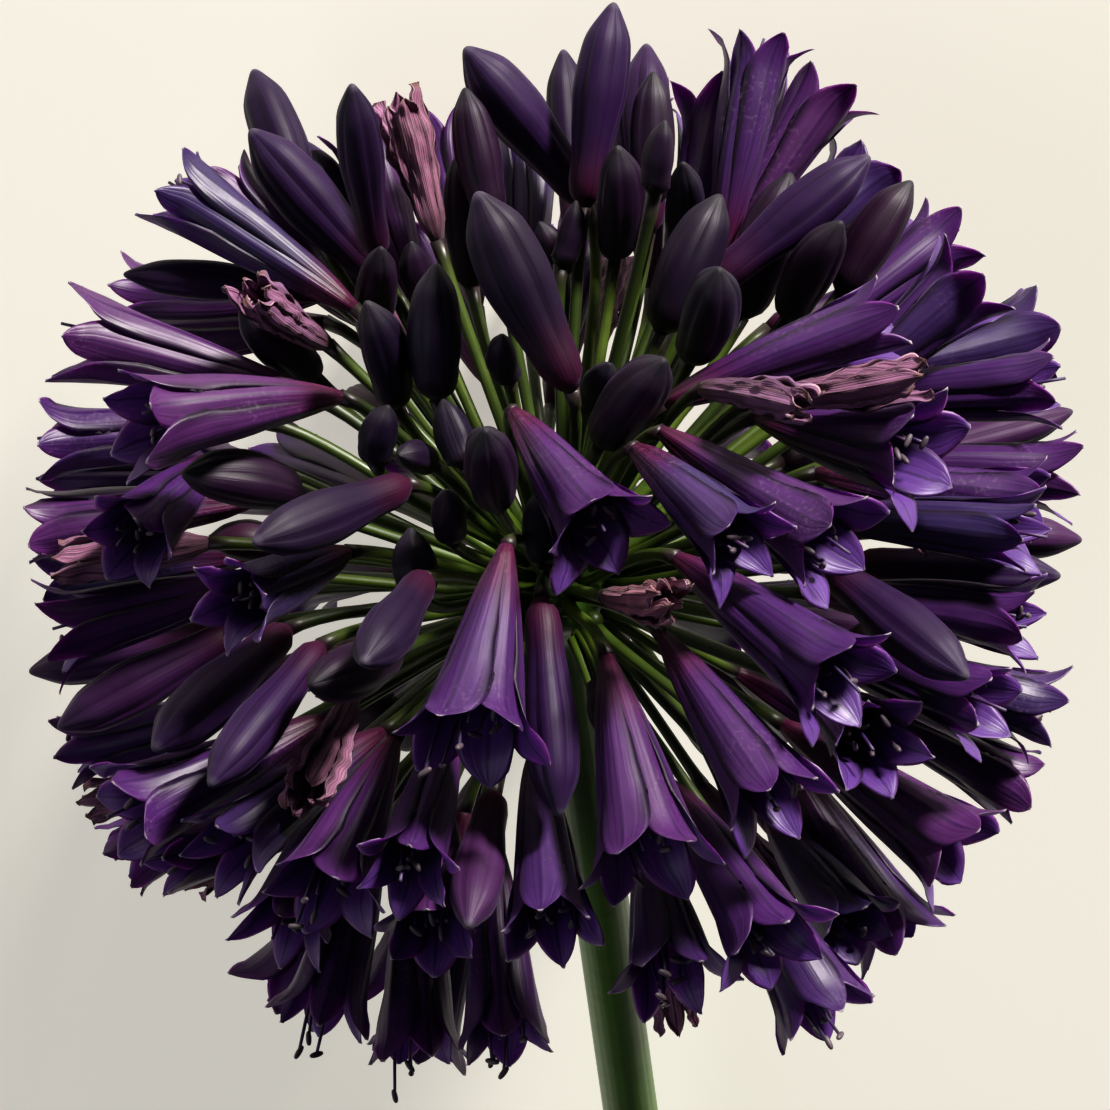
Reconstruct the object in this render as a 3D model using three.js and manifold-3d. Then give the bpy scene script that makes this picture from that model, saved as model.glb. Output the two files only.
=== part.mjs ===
// A cut agapanthus flower stem, laid down on a surface.
// Millimetres, +Z up. The origin is at the bottom centre of the whole stem's box.
//
// The florets are set out in the head frame: the hub, where the pedicels meet, is its origin,
// x runs to the right, y up, and z towards the front of the head. The last group turns that
// frame so that the head rests on its lowest tepals and the scape on its cut end.

import * as THREE from 'three';
import { mergeVertices } from 'three/addons/utils/BufferGeometryUtils.js';
import Module from 'manifold-3d';

const wasm = await Module();
wasm.setup();

const DEG = Math.PI / 180;

// ---------------------------------------------------------------- driving dimensions

const HUB_HEIGHT = 84; // the hub above the surface
const SCAPE_LENGTH = 280; // from the hub to the cut end
const SCAPE_FOOT_RADIUS = 5.8;
const SCAPE_NECK_RADIUS = 4.9;
const SCAPE_SIDES = 16;
const SCAPE_FINISH = { colour: 0x5c7a34, roughness: 0.5 };
const RECEPTACLE_RADIUS = 8.4;
const PRESSED = 0.4; // how much is flattened off what rests on the surface
const POLE_LEAN = 42 * DEG; // between the umbel's pole and the front
const POLE_ROLL = 8 * DEG; // how far the pole leans left of straight up
const SIGHT_DISTANCE = 600; // the florets' places are sighted from this far in front

const KNOT_RADIUS = 1.7; // of the knot that each cyme's pedicels grow from
const SEAT_GAP = 0.3; // between a knot and the receptacle that it sits on
const KNOT_REACH = RECEPTACLE_RADIUS + SEAT_GAP + KNOT_RADIUS; // from the hub to a knot's middle
const CYME_COUNT = 59;
const CYME_SPREAD = 128 * DEG; // from the pole down to the lowest knot
const PEDICEL_RADIUS = 1.1;
const EDGE_REACH = 84; // from the hub to the tips of the florets at the head's edge
const EDGE_FRONT = 6; // the least that a tip at the edge lies in front of the hub
const EDGE_BACK = 20; // the least that a tip behind the edge lies behind it
const KEELED_WIDTH = 20; // the least across the mouth of an open flower that has keels
const OPEN_LEAN = 32 * DEG; // the most that an open flower at the front leans forward
const OPEN_SHORTEST = 30;
const OPEN_PAST_RIM = 1.12; // how far its mouth's middle lies past the near rim that is listed
const OPEN_SIDE_ON = 36; // an open flower that is this long as it is seen lies side on

const KINDS = {
  open: { length: 39, pedicel: 50, colour: 0x3b1a6e, roughness: 0.5 },
  long: { length: 34, pedicel: 50, colour: 0x2f1a52, roughness: 0.45 },
  bud: { length: 22, pedicel: 49, colour: 0x1d1030, roughness: 0.5 },
  small: { length: 11, pedicel: 46, colour: 0x191022, roughness: 0.55 },
  wilted: { length: 28, pedicel: 50, colour: 0x8a5a78, roughness: 0.8 },
};

// Each floret that the front shows: kind, side, the base's x and y, the tip's or the mouth's
// x and y, and the width across the mouth or the bud.
const FLORETS = [
  // upper left
  ['long', 'back', -42, 62, -50, 85, 9],
  ['long', 'front', -27, 48, -50, 75, 10],
  ['open', 'back', -41, 55, -59, 71, 14],
  ['open', 'edge', -44, 52, -65, 65, 18],
  ['long', 'edge', -45, 52, -71.5, 53.5, 6.5],
  ['open', 'back', -47, 47, -71, 48, 12],
  ['open', 'back', -50, 43, -71, 42, 12],
  ['long', 'back', -33, 53, -42, 75, 9],
  ['open', 'back', -30, 60, -34.5, 80, 14],
  ['long', 'front', -27, 52, -33, 78.5, 7.5],
  ['wilted', 'edge', -23, 56, -26, 83, 9],
  ['open', 'back', -16, 64, -18.5, 79, 14],
  ['open', 'back', -5, 60, -5, 78, 15],
  ['bud', 'edge', -13, 62, -14.5, 83, 7.5],
  ['bud', 'front', -17, 50, -16.5, 73, 7],
  ['long', 'front', 6, 64, -15, 89.5, 10],
  ['small', 'front', -22, 50, -22, 57, 5],
  ['small', 'front', 2, 52, -3, 61.5, 5.5],
  ['long', 'back', 3, 66, 1, 90, 8],
  // top
  ['long', 'edge', 7, 66, 10, 94, 9],
  ['long', 'back', 15, 66, 15, 90, 9],
  ['bud', 'edge', 12, 64, 13.5, 85.5, 7.5],
  ['open', 'back', 19, 66, 20, 86, 14],
  ['small', 'edge', 17, 66, 18, 78, 5],
  ['bud', 'front', 9, 56, 8.5, 73.5, 8],
  ['bud', 'front', 18.5, 58, 20.5, 71.5, 6.5],
  ['bud', 'front', 17, 42, 27, 65, 9.5],
  ['bud', 'front', 22, 34, 27, 51.5, 9],
  ['small', 'front', 3, 53, 5, 61.5, 4.5],
  ['open', 'back', 24, 60, 26, 86, 20],
  ['open', 'back', 26, 55, 37, 87, 14],
  ['open', 'back', 30, 55, 44, 82, 18],
  ['open', 'back', 38, 62, 52, 75, 18],
  ['bud', 'front', 32, 46, 39.5, 70.5, 9.5],
  ['bud', 'front', 37, 47, 45, 61, 8],
  ['long', 'edge', 40, 58, 53.5, 70, 9],
  ['bud', 'edge', 45, 50, 58.5, 67, 8],
  ['open', 'back', 52, 52, 63, 64, 18],
  ['long', 'back', 50, 49, 65, 54, 8],
  // right
  ['open', 'edge', 57, 38, 72, 52, 20],
  ['open', 'front', 20, 35, 61, 47, 16],
  ['wilted', 'edge', 28, 33, 62, 36, 8],
  ['open', 'back', 60, 38, 82, 43, 20],
  ['open', 'edge', 62, 33, 85, 31.5, 16],
  ['long', 'back', 68, 25, 86, 29.5, 7],
  ['open', 'edge', 56, 22, 88, 22, 16],
  ['open', 'edge', 60, 15, 83, 12, 16],
  ['long', 'back', 65, 9, 87.5, 8, 8],
  ['open', 'edge', 62, 8, 82, 4, 14],
  ['long', 'edge', 55, 4, 84, 2, 8],
  ['open', 'front', 33, 29, 60, 23, 24],
  ['open', 'front', 18, 28, 43, 9, 24],
  ['wilted', 'front', 52, 15, 62, 10, 5],
  ['wilted', 'front', 21, 31, 40, 30, 7],
  // centre
  ['long', 'front', 3, 31, -12, 63, 11],
  ['small', 'front', -8, 35, -9, 42, 5],
  ['small', 'front', 5, 31, 9, 38, 5],
  ['bud', 'front', 9, 25, 19, 38.5, 9],
  ['open', 'front', -6, 28, 11, 10, 22],
  ['open', 'front', 8, 22, 27, 6, 16],
  ['wilted', 'front', 8, 6, 19, 1, 7],
  ['open', 'front', -8, 9, -14, -21, 27],
  ['small', 'front', -3, 3, -3, 15.5, 6],
  ['bud', 'front', -11, 12, -12, 26, 8],
  ['small', 'front', -18, 19, -19.5, 31, 6],
  ['small', 'front', -29, 21, -28, 31, 6],
  ['small', 'front', -17, 9, -18.5, 17, 5.5],
  ['small', 'front', -22, -2, -23.5, 9.5, 7],
  ['bud', 'front', -30, 31, -31, 47, 7.5],
  ['bud', 'front', -21, 31, -20.5, 53, 8.5],
  ['bud', 'front', -32, 44, -32, 57, 7],
  ['bud', 'front', -40, 35, -50, 47, 8],
  ['wilted', 'front', -38, 43, -53, 51, 8],
  ['small', 'front', -20, 20, -27, 22, 5],
  ['long', 'front', -24, 19, -48, 8.5, 8.5],
  ['open', 'front', -35, 6, -53, -2, 14],
  // left
  ['open', 'edge', -40, 34, -85, 38, 22],
  ['open', 'front', -32, 31, -68, 26, 22],
  ['open', 'edge', -52, 27, -87, 27, 14],
  ['open', 'back', -55, 18, -86, 17, 14],
  ['open', 'edge', -60, 12, -90, 8, 14],
  ['wilted', 'edge', -65, 9, -87, 5.5, 9],
  ['bud', 'front', -43, 16, -61, 20, 9],
  ['small', 'front', -47, 8, -59.5, 10.5, 7],
  ['open', 'front', -54, 19, -70, 8, 18],
  ['open', 'back', -58, 5, -86, 3, 14],
  ['open', 'edge', -55, 1, -87, -7, 18],
  ['long', 'back', -65, -9, -88, -14, 8],
  ['long', 'edge', -54, -7, -82.5, -23, 9],
  ['open', 'back', -62, -22, -83, -28, 14],
  ['long', 'front', -45, -7, -66, -27, 9.5],
  ['long', 'edge', -42, -12, -58, -33, 8],
  ['wilted', 'back', -65, -31, -81, -36, 8],
  ['open', 'front', -38, -22, -67, -38, 22],
  ['open', 'edge', -60, -37, -75, -47, 16],
  ['open', 'edge', -54, -42, -69, -46, 14],
  ['wilted', 'back', -54, -43, -64, -51, 8],
  ['open', 'edge', -41, -37, -55, -53, 18],
  ['bud', 'front', -27, -10, -40.5, -16, 8.5],
  ['long', 'edge', -25, 3, -32, -12, 8],
  ['wilted', 'front', -33, -19, -43, -38, 9],
  // bottom
  ['open', 'front', -27, -24, -36, -49, 22],
  ['open', 'edge', -41, -46, -49, -62, 18],
  ['open', 'edge', -34, -52, -37, -72, 18],
  ['open', 'edge', -24, -55, -23, -80, 18],
  ['open', 'edge', -12, -55, -13, -79, 18],
  ['long', 'front', -9, -34, -13.5, -55, 8],
  ['open', 'front', -19, -36, -28, -55, 17],
  ['open', 'edge', -5, -36, -4, -58, 18],
  ['open', 'edge', -21, -30, -26, -52, 13],
  ['long', 'front', -3, 0, 0, -35, 8.5],
  ['small', 'front', 8, -14, 9, -25.5, 6.5],
  ['open', 'front', 9, -9, 15, -43, 26],
  ['open', 'front', 17, -8, 37, -34, 22],
  ['small', 'front', 28, -26, 29, -34, 5],
  ['open', 'front', 20, 5, 48, -17, 22],
  ['long', 'edge', 49, 2, 68.5, -15, 9],
  ['open', 'edge', 62, -2, 82, -3, 14],
  ['open', 'edge', 55, -13, 75, -21, 18],
  ['open', 'front', 42, -17, 51, -26, 20],
  ['open', 'back', 55, -22, 79, -34, 16],
  ['open', 'edge', 45, -28, 70, -46, 22],
  ['open', 'edge', 43, -37, 59, -62, 20],
  ['open', 'front', 36, -38, 47, -56, 16],
  ['open', 'front', 15, -42, 20, -63, 22],
  ['open', 'edge', 25, -44, 37, -64, 20],
  ['wilted', 'back', 17, -52, 20, -74, 9],
];

// The rest of the head, behind the hub and round the scape, set out by rule. A kind's share runs
// up to its number, and droop is how far the florets hang from straight out towards the scape,
// at the head's equator. Those nearer the scape hang less, on shorter pedicels.
const REST = {
  places: 180,
  spread: 150 * DEG,
  nearest: 12.5 * DEG,
  below: 0.1, // the cosine to the pole under which places in front of the hub are filled too
  bare: 0.3, // the sine of the half-width that stays bare in front of the scape
  droop: 0.2,
  shortBelow: -0.35, // the cosine to the pole under which pedicels grow shorter
  shorter: 0.5,
  shares: { open: 0.62, long: 0.78, bud: 0.92, wilted: 1 },
  mouths: [15, 22],
  girths: [7.5, 9.5],
};
const SEED = 4123;

// ---------------------------------------------------------------- small helpers

const vec = (x, y, z) => new THREE.Vector3(x, y, z);
const mix = (a, b, t) => a + (b - a) * t;

// A seeded draw, evenly spread from 0 to 1.
function makeDraw(seed) {
  let state = seed;
  return () => {
    state = (state * 16807) % 2147483647;
    return state / 2147483647;
  };
}

const POLE = vec(
  -Math.sin(POLE_ROLL) * Math.sin(POLE_LEAN),
  Math.cos(POLE_ROLL) * Math.sin(POLE_LEAN),
  Math.cos(POLE_LEAN),
);

// Direction number i of count, evenly spread round the pole and down to spread.
function spiralDirection(i, count, spread) {
  const rise = 1 - ((i + 0.5) / count) * (1 - Math.cos(spread));
  const turn = i * Math.PI * (3 - Math.sqrt(5));
  const side = vec(1, 0, 0).addScaledVector(POLE, -POLE.x).normalize();
  const other = POLE.clone().cross(side);
  const across = Math.sqrt(1 - rise * rise);
  return POLE.clone().multiplyScalar(rise)
    .addScaledVector(side, across * Math.cos(turn))
    .addScaledVector(other, across * Math.sin(turn));
}

// ---------------------------------------------------------------- laying out the florets

// How far in front of the hub a point sighted at (x, y) lies, to be reach away from the hub.
function depthFor(x, y, reach) {
  let z = 0;
  for (let pass = 0; pass < 6; pass++) {
    const near = 1 - z / SIGHT_DISTANCE;
    z = Math.sqrt(Math.max(0, reach * reach - (x * x + y * y) * near * near));
  }
  return z;
}

function sighted(x, y, z) {
  const near = 1 - z / SIGHT_DISTANCE;
  return vec(x * near, y * near, z);
}

// The base and tip of a floret that the front shows.
function placeFront([kind, side, x0, y0, x1, y1, width]) {
  const { pedicel } = KINDS[kind];
  const drawn = Math.hypot(x1 - x0, y1 - y0);
  let { length } = KINDS[kind];
  let base;
  let tip;
  if (side === 'front') {
    base = sighted(x0, y0, depthFor(x0, y0, pedicel));
    let across = drawn * (1 - base.z / SIGHT_DISTANCE);
    let past = 1;
    if (kind === 'open') {
      past = Math.max(1, Math.min(OPEN_PAST_RIM, OPEN_SIDE_ON / across));
      across *= past;
      length = Math.max(OPEN_SHORTEST, Math.min(length, across / Math.cos(OPEN_LEAN)));
    }
    length = Math.max(length, across);
    const forward = Math.sqrt(length * length - across * across);
    tip = sighted(mix(x0, x1, past), mix(y0, y1, past), base.z + forward);
  } else {
    length = Math.max(length, drawn);
    const depth = depthFor(x1, y1, EDGE_REACH);
    tip = sighted(x1, y1, side === 'back' ? -Math.max(depth, EDGE_BACK) : Math.max(depth, EDGE_FRONT));
    const slope = tip.z / Math.hypot(x1, y1);
    const axis = vec((x1 - x0) / drawn, (y1 - y0) / drawn, slope).normalize();
    base = tip.clone().addScaledVector(axis, -length);
  }
  return { kind, width, base, tip, length, keeled: side === 'front' && width >= KEELED_WIDTH };
}

// The rest of the florets: one at each spiral place that no other floret is near.
function placeRest(listed, draw) {
  const placed = [];
  const cosNearest = Math.cos(REST.nearest);
  const middles = listed.map(({ base, tip }) => base.clone().lerp(tip, 0.5).normalize());
  for (let i = 0; i < REST.places; i++) {
    const out = spiralDirection(i, REST.places, REST.spread);
    const pick = draw();
    const size = draw();
    const height = out.dot(POLE);
    const inView = out.z > 0 && height > REST.below;
    const beforeScape = out.y < 0 && out.z > -0.3 && Math.abs(out.x - (out.y * POLE.x) / POLE.y) < REST.bare;
    if (inView || beforeScape || middles.some((m) => m.dot(out) > cosNearest)) continue;
    const kind = Object.keys(REST.shares).find((name) => pick < REST.shares[name]);
    const width = mix(...(kind === 'open' ? REST.mouths : REST.girths), size);
    const { length, pedicel } = KINDS[kind];
    const base = out.clone().multiplyScalar(pedicel * (1 - REST.shorter * Math.max(0, REST.shortBelow - height)));
    const axis = out.clone().addScaledVector(POLE, -REST.droop * (1 + height)).normalize();
    const tip = base.clone().addScaledVector(axis, length);
    placed.push({ kind, width, base, tip, length, simple: true });
    middles.push(out);
  }
  return placed;
}

// ---------------------------------------------------------------- easing the florets apart
//
// Each floret is stood for by round beads: along its body, at its tepals' tips and along its
// pedicel. Beads of two florets that press are moved apart, mostly in depth, a little at a time.

const EASE = {
  passes: 240,
  settle: 80, // the last passes, without the pull home
  clear: 0.9, // between beads
  step: 0.45, // the share of an overlap that one pass takes away
  sideways: 0.65, // how freely beads move across the front, against in depth
  home: 0.03, // the pull home
  near: 12, // beads that start further apart than this never meet
};
const BODY_BEADS = [0.12, 0.37, 0.62, 0.88];
const BODY_GIRTH = [0.34, 0.5, 0.5, 0.34];
const OPEN_BEADS = [0.06, 0.22, 0.38, 0.55, 0.72, 0.88];
const OPEN_TUBE = [2.2, 2.9, 3.6, 3.2, 2.0, 1.2];
const OPEN_FLARE = [0, 0, 0.02, 0.09, 0.2, 0.28];
const TIP_BEAD = { along: 0.97, out: 0.44, radius: 2.2 };
const TIP_SINK = 1.5; // how far a bead may dip under the surface, so that the real tips press on it
const PEDICEL_BEADS = [0.4, 0.6, 0.8, 0.95];

function beadsOf(floret, owner) {
  const beads = [];
  const add = (stalk, along, radius, out = 0, turn = 0) => {
    beads.push({ owner, stalk, along, radius, out, turn });
  };
  if (floret.kind === 'open') {
    OPEN_BEADS.forEach((s, i) => add(1, s, OPEN_TUBE[i] + OPEN_FLARE[i] * floret.width));
    for (let k = 0; k < 6; k++) {
      add(1, TIP_BEAD.along, TIP_BEAD.radius, TIP_BEAD.out * floret.width, floret.roll + k * 60 * DEG);
    }
  } else {
    BODY_BEADS.forEach((s, i) => add(1, s, BODY_GIRTH[i] * floret.width + 0.2));
  }
  PEDICEL_BEADS.forEach((t) => add(t, 0, PEDICEL_RADIUS + 0.4));
  return beads;
}

// Two directions square to axis, the first as near as can be to hint.
function squareTo(axis, hint) {
  const first = hint.clone().addScaledVector(axis, -hint.dot(axis)).normalize();
  return [first, axis.clone().cross(first)];
}

function easeApart(florets, up) {
  const beads = florets.flatMap(beadsOf);
  const place = (bead) => {
    const { base, tip, hint } = florets[bead.owner];
    const at = base.clone().multiplyScalar(bead.stalk);
    if (bead.stalk === 1) at.lerp(tip, bead.along);
    if (bead.out > 0) {
      const [first, second] = squareTo(tip.clone().sub(base).normalize(), hint);
      at.addScaledVector(first, bead.out * Math.cos(bead.turn));
      at.addScaledVector(second, bead.out * Math.sin(bead.turn));
    }
    return at;
  };
  const start = beads.map(place);
  const pairs = [];
  beads.forEach((a, i) => {
    for (let j = i + 1; j < beads.length; j++) {
      const b = beads[j];
      if (a.owner === b.owner) continue;
      const reach = a.radius + b.radius + EASE.clear;
      if (start[i].distanceTo(start[j]) < reach + EASE.near) pairs.push([i, j, reach]);
    }
  });
  const homes = florets.map(({ base, tip }) => [base.clone(), tip.clone()]);
  for (let pass = 0; pass < EASE.passes; pass++) {
    const places = beads.map(place);
    const pushes = beads.map(() => vec(0, 0, 0));
    for (const [i, j, reach] of pairs) {
      const apart = places[i].distanceTo(places[j]);
      if (apart >= reach) continue;
      const push = places[i].clone().sub(places[j]).multiplyScalar(EASE.step * (reach - apart) / (2 * apart));
      pushes[i].add(push);
      pushes[j].sub(push);
    }
    places.forEach((at, i) => {
      const sunk = beads[i].radius - TIP_SINK - HUB_HEIGHT - at.dot(up);
      if (sunk > 0) pushes[i].addScaledVector(up, EASE.step * sunk);
    });
    const moves = florets.map(() => [vec(0, 0, 0), vec(0, 0, 0)]);
    beads.forEach((bead, i) => {
      moves[bead.owner][0].addScaledVector(pushes[i], bead.stalk * (1 - bead.along));
      moves[bead.owner][1].addScaledVector(pushes[i], bead.stalk * bead.along);
    });
    const hold = pass < EASE.passes - EASE.settle ? EASE.home : 0;
    florets.forEach((floret, i) => {
      [floret.base, floret.tip].forEach((point, end) => {
        const move = moves[i][end];
        point.add(vec(move.x * EASE.sideways, move.y * EASE.sideways, move.z));
        point.lerp(homes[i][end], hold);
      });
      const axis = floret.tip.clone().sub(floret.base).normalize();
      floret.tip.copy(floret.base).addScaledVector(axis, floret.length);
    });
  }
}

// ---------------------------------------------------------------- the knots on the receptacle

const KNOT_ROUNDS = 60;
const KNOT_SPACING = 3.9;

// Where the cymes' knots stand: near the middle of the florets that each carries, and evenly
// enough apart that no two touch. Sets each floret's cyme.
function settleKnots(florets) {
  const knots = Array.from({ length: CYME_COUNT }, (_, i) => (
    spiralDirection(i, CYME_COUNT, CYME_SPREAD).multiplyScalar(KNOT_REACH)));
  const share = () => {
    for (const floret of florets) {
      const along = knots.map((knot) => knot.dot(floret.base));
      floret.cyme = along.indexOf(Math.max(...along));
    }
  };
  for (let round = 0; round < KNOT_ROUNDS; round++) {
    share();
    const drawIn = round < KNOT_ROUNDS / 2;
    knots.forEach((knot, i) => {
      const mine = florets.filter((floret) => floret.cyme === i);
      if (!drawIn || mine.length === 0) return;
      const middle = mine.reduce((sum, { base }) => sum.add(base), vec(0, 0, 0)).setLength(KNOT_REACH);
      knot.lerp(middle, 0.5);
    });
    for (let i = 0; i < knots.length; i++) {
      for (let j = i + 1; j < knots.length; j++) {
        const apart = knots[i].clone().sub(knots[j]);
        const lacking = KNOT_SPACING - apart.length();
        if (lacking <= 0) continue;
        apart.setLength(lacking / 2);
        knots[i].add(apart);
        knots[j].sub(apart);
      }
    }
    for (const knot of knots) {
      const down = Math.acos(knot.dot(POLE) / knot.length());
      if (down > CYME_SPREAD) {
        const [across] = squareTo(POLE, knot);
        knot.copy(POLE).multiplyScalar(Math.cos(CYME_SPREAD)).addScaledVector(across, Math.sin(CYME_SPREAD));
      }
      knot.setLength(KNOT_REACH);
    }
  }
  share();
  return knots;
}

// ---------------------------------------------------------------- closed bodies from rings

// A closed body that is carried through rings of points. A ring of three may meet a ring of
// six. The first ring is capped, and the last one meets a single point.
class Shell {
  constructor() {
    this.points = [];
    this.faces = [];
  }

  add(point) {
    this.points.push(point);
    return this.points.length - 1;
  }

  ring(middle, first, second, radii, turn = 0) {
    return radii.map((radius, k) => {
      const angle = turn + (k * 2 * Math.PI) / radii.length;
      return this.add(middle.clone()
        .addScaledVector(first, radius * Math.cos(angle))
        .addScaledVector(second, radius * Math.sin(angle)));
    });
  }

  face(...corners) {
    this.faces.push(corners);
  }

  cap(ring) {
    for (let k = 1; k + 1 < ring.length; k++) this.face(ring[0], ring[k + 1], ring[k]);
  }

  // Walls between a ring and the next one, which has as many points or twice as many.
  walls(low, high) {
    const n = low.length;
    const ratio = high.length / n;
    for (let k = 0; k < n; k++) {
      const next = (k + 1) % n;
      if (ratio === 1) {
        this.face(low[k], low[next], high[next]);
        this.face(low[k], high[next], high[k]);
      } else {
        const h0 = high[2 * k];
        const h1 = high[2 * k + 1];
        const h2 = high[(2 * k + 2) % high.length];
        this.face(low[k], h1, h0);
        this.face(low[k], low[next], h1);
        this.face(low[next], h2, h1);
      }
    }
  }

  close(ring, point) {
    ring.forEach((corner, k) => this.face(corner, ring[(k + 1) % ring.length], point));
  }

  solid() {
    const geometry = new THREE.BufferGeometry();
    const spots = this.faces.flat().flatMap((i) => this.points[i].toArray());
    geometry.setAttribute('position', new THREE.Float32BufferAttribute(spots, 3));
    return toSolid(geometry);
  }
}

function toSolid(geometry) {
  const bare = geometry.clone();
  bare.deleteAttribute('normal');
  bare.deleteAttribute('uv');
  const merged = mergeVertices(bare, 1e-4);
  const mesh = new wasm.Mesh({
    numProp: 3,
    vertProperties: merged.attributes.position.array,
    triVerts: Uint32Array.from(merged.index.array),
  });
  return new wasm.Manifold(mesh);
}

function toGeometry(solid) {
  const { vertProperties, triVerts } = solid.getMesh();
  const geometry = new THREE.BufferGeometry();
  geometry.setAttribute('position', new THREE.BufferAttribute(vertProperties, 3));
  geometry.setIndex(new THREE.BufferAttribute(triVerts, 1));
  return geometry;
}

// ---------------------------------------------------------------- pedicels and florets

const PEDICEL_LEAVE = 0.35; // how far along it keeps its direction from the knot
const PEDICEL_ARRIVE = 0.25; // how far before its end it takes up the floret's direction
const PEDICEL_BEND_AT = 0.6;
const STRAIGHT_ENOUGH = 0.93; // the cosine of the turn that a pedicel takes without a middle ring
const ROOT_OFFSET = 1.0; // from the knot's middle to each pedicel's root

function pedicelCurve({ root, base, tip }) {
  const run = base.distanceTo(root);
  const way = base.clone().sub(root).normalize();
  const leaving = root.clone().normalize().add(way).normalize();
  const arriving = tip.clone().sub(base).normalize().add(way).normalize();
  return new THREE.CubicBezierCurve3(
    root,
    root.clone().addScaledVector(leaving, PEDICEL_LEAVE * run),
    base.clone().addScaledVector(arriving, -PEDICEL_ARRIVE * run),
    base,
  );
}

// The pedicel's walls, from a cap inside the knot up to a three-sided ring at the base.
function addPedicel(shell, floret) {
  const curve = pedicelCurve(floret);
  const turn = curve.getTangent(0).dot(curve.getTangent(1));
  const stops = turn > STRAIGHT_ENOUGH ? [0, 1] : [0, PEDICEL_BEND_AT, 1];
  const rings = stops.map((t) => {
    const [first, second] = squareTo(curve.getTangent(t), floret.hint);
    const radius = t === 0 ? 0.8 * PEDICEL_RADIUS : PEDICEL_RADIUS;
    return shell.ring(curve.getPoint(t), first, second, [radius, radius, radius], floret.roll);
  });
  shell.cap(rings[0]);
  rings.slice(1).forEach((ring, i) => shell.walls(rings[i], ring));
  return rings.at(-1);
}

// The point along the floret's slightly bowed midline.
function midline({ base, tip, bow, first }, along) {
  return base.clone().lerp(tip, along).addScaledVector(first, 4 * bow * along * (1 - along));
}

const BODY_RINGS = {
  long: [[0.16, 0.26], [0.58, 0.5], [0.85, 0.38]],
  bud: [[0.16, 0.36], [0.52, 0.5], [0.82, 0.34]],
  small: [[0.22, 0.4], [0.55, 0.5], [0.84, 0.3]],
  wilted: [[0.14, 0.3], [0.36, 0.34], [0.62, 0.5], [0.86, 0.38]],
};
const CREASE = { long: 0.06, bud: 0.04, small: 0, wilted: 0.3 };

function closedFloret(floret) {
  const shell = new Shell();
  let low = addPedicel(shell, floret);
  for (const [along, girth] of BODY_RINGS[floret.kind]) {
    const crease = CREASE[floret.kind];
    const radii = [0, 1, 2, 3, 4, 5].map((k) => girth * floret.width * (k % 2 ? 1 - crease : 1 + crease / 3));
    const middle = midline(floret, along);
    const ring = shell.ring(middle, floret.first, floret.second, radii, floret.roll);
    shell.walls(low, ring);
    low = ring;
  }
  shell.close(low, shell.add(floret.tip.clone()));
  return shell.solid();
}

// The open flower: a tube of six sides that parts into six tepals. Distances along are shares of
// the floret's length, and those across are shares of its mouth's width. Wide ones at the front
// have a keel down each tepal's back, and the others a plain back. Simple ones have no collar and
// a shallow throat.
const OPEN = {
  collar: { along: 0.1, radius: 2.3 },
  waist: { along: 0.4, radius: 3.3, flare: 0.05 },
  notch: { along: 0.6, radius: 3.0, flare: 0.13 },
  shoulder: { along: 0.86, radius: 2.2, flare: 0.27, half: 3.2, halfFlare: 0.045, most: 0.54 },
  tip: { flare: 0.46 },
  throat: 0.34,
  shallowThroat: 0.66,
  keel: 0.55, // how far a keel stands out from the tepal's edges
  groove: 0.6, // how far the inside's midline lies in from them
};

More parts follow.
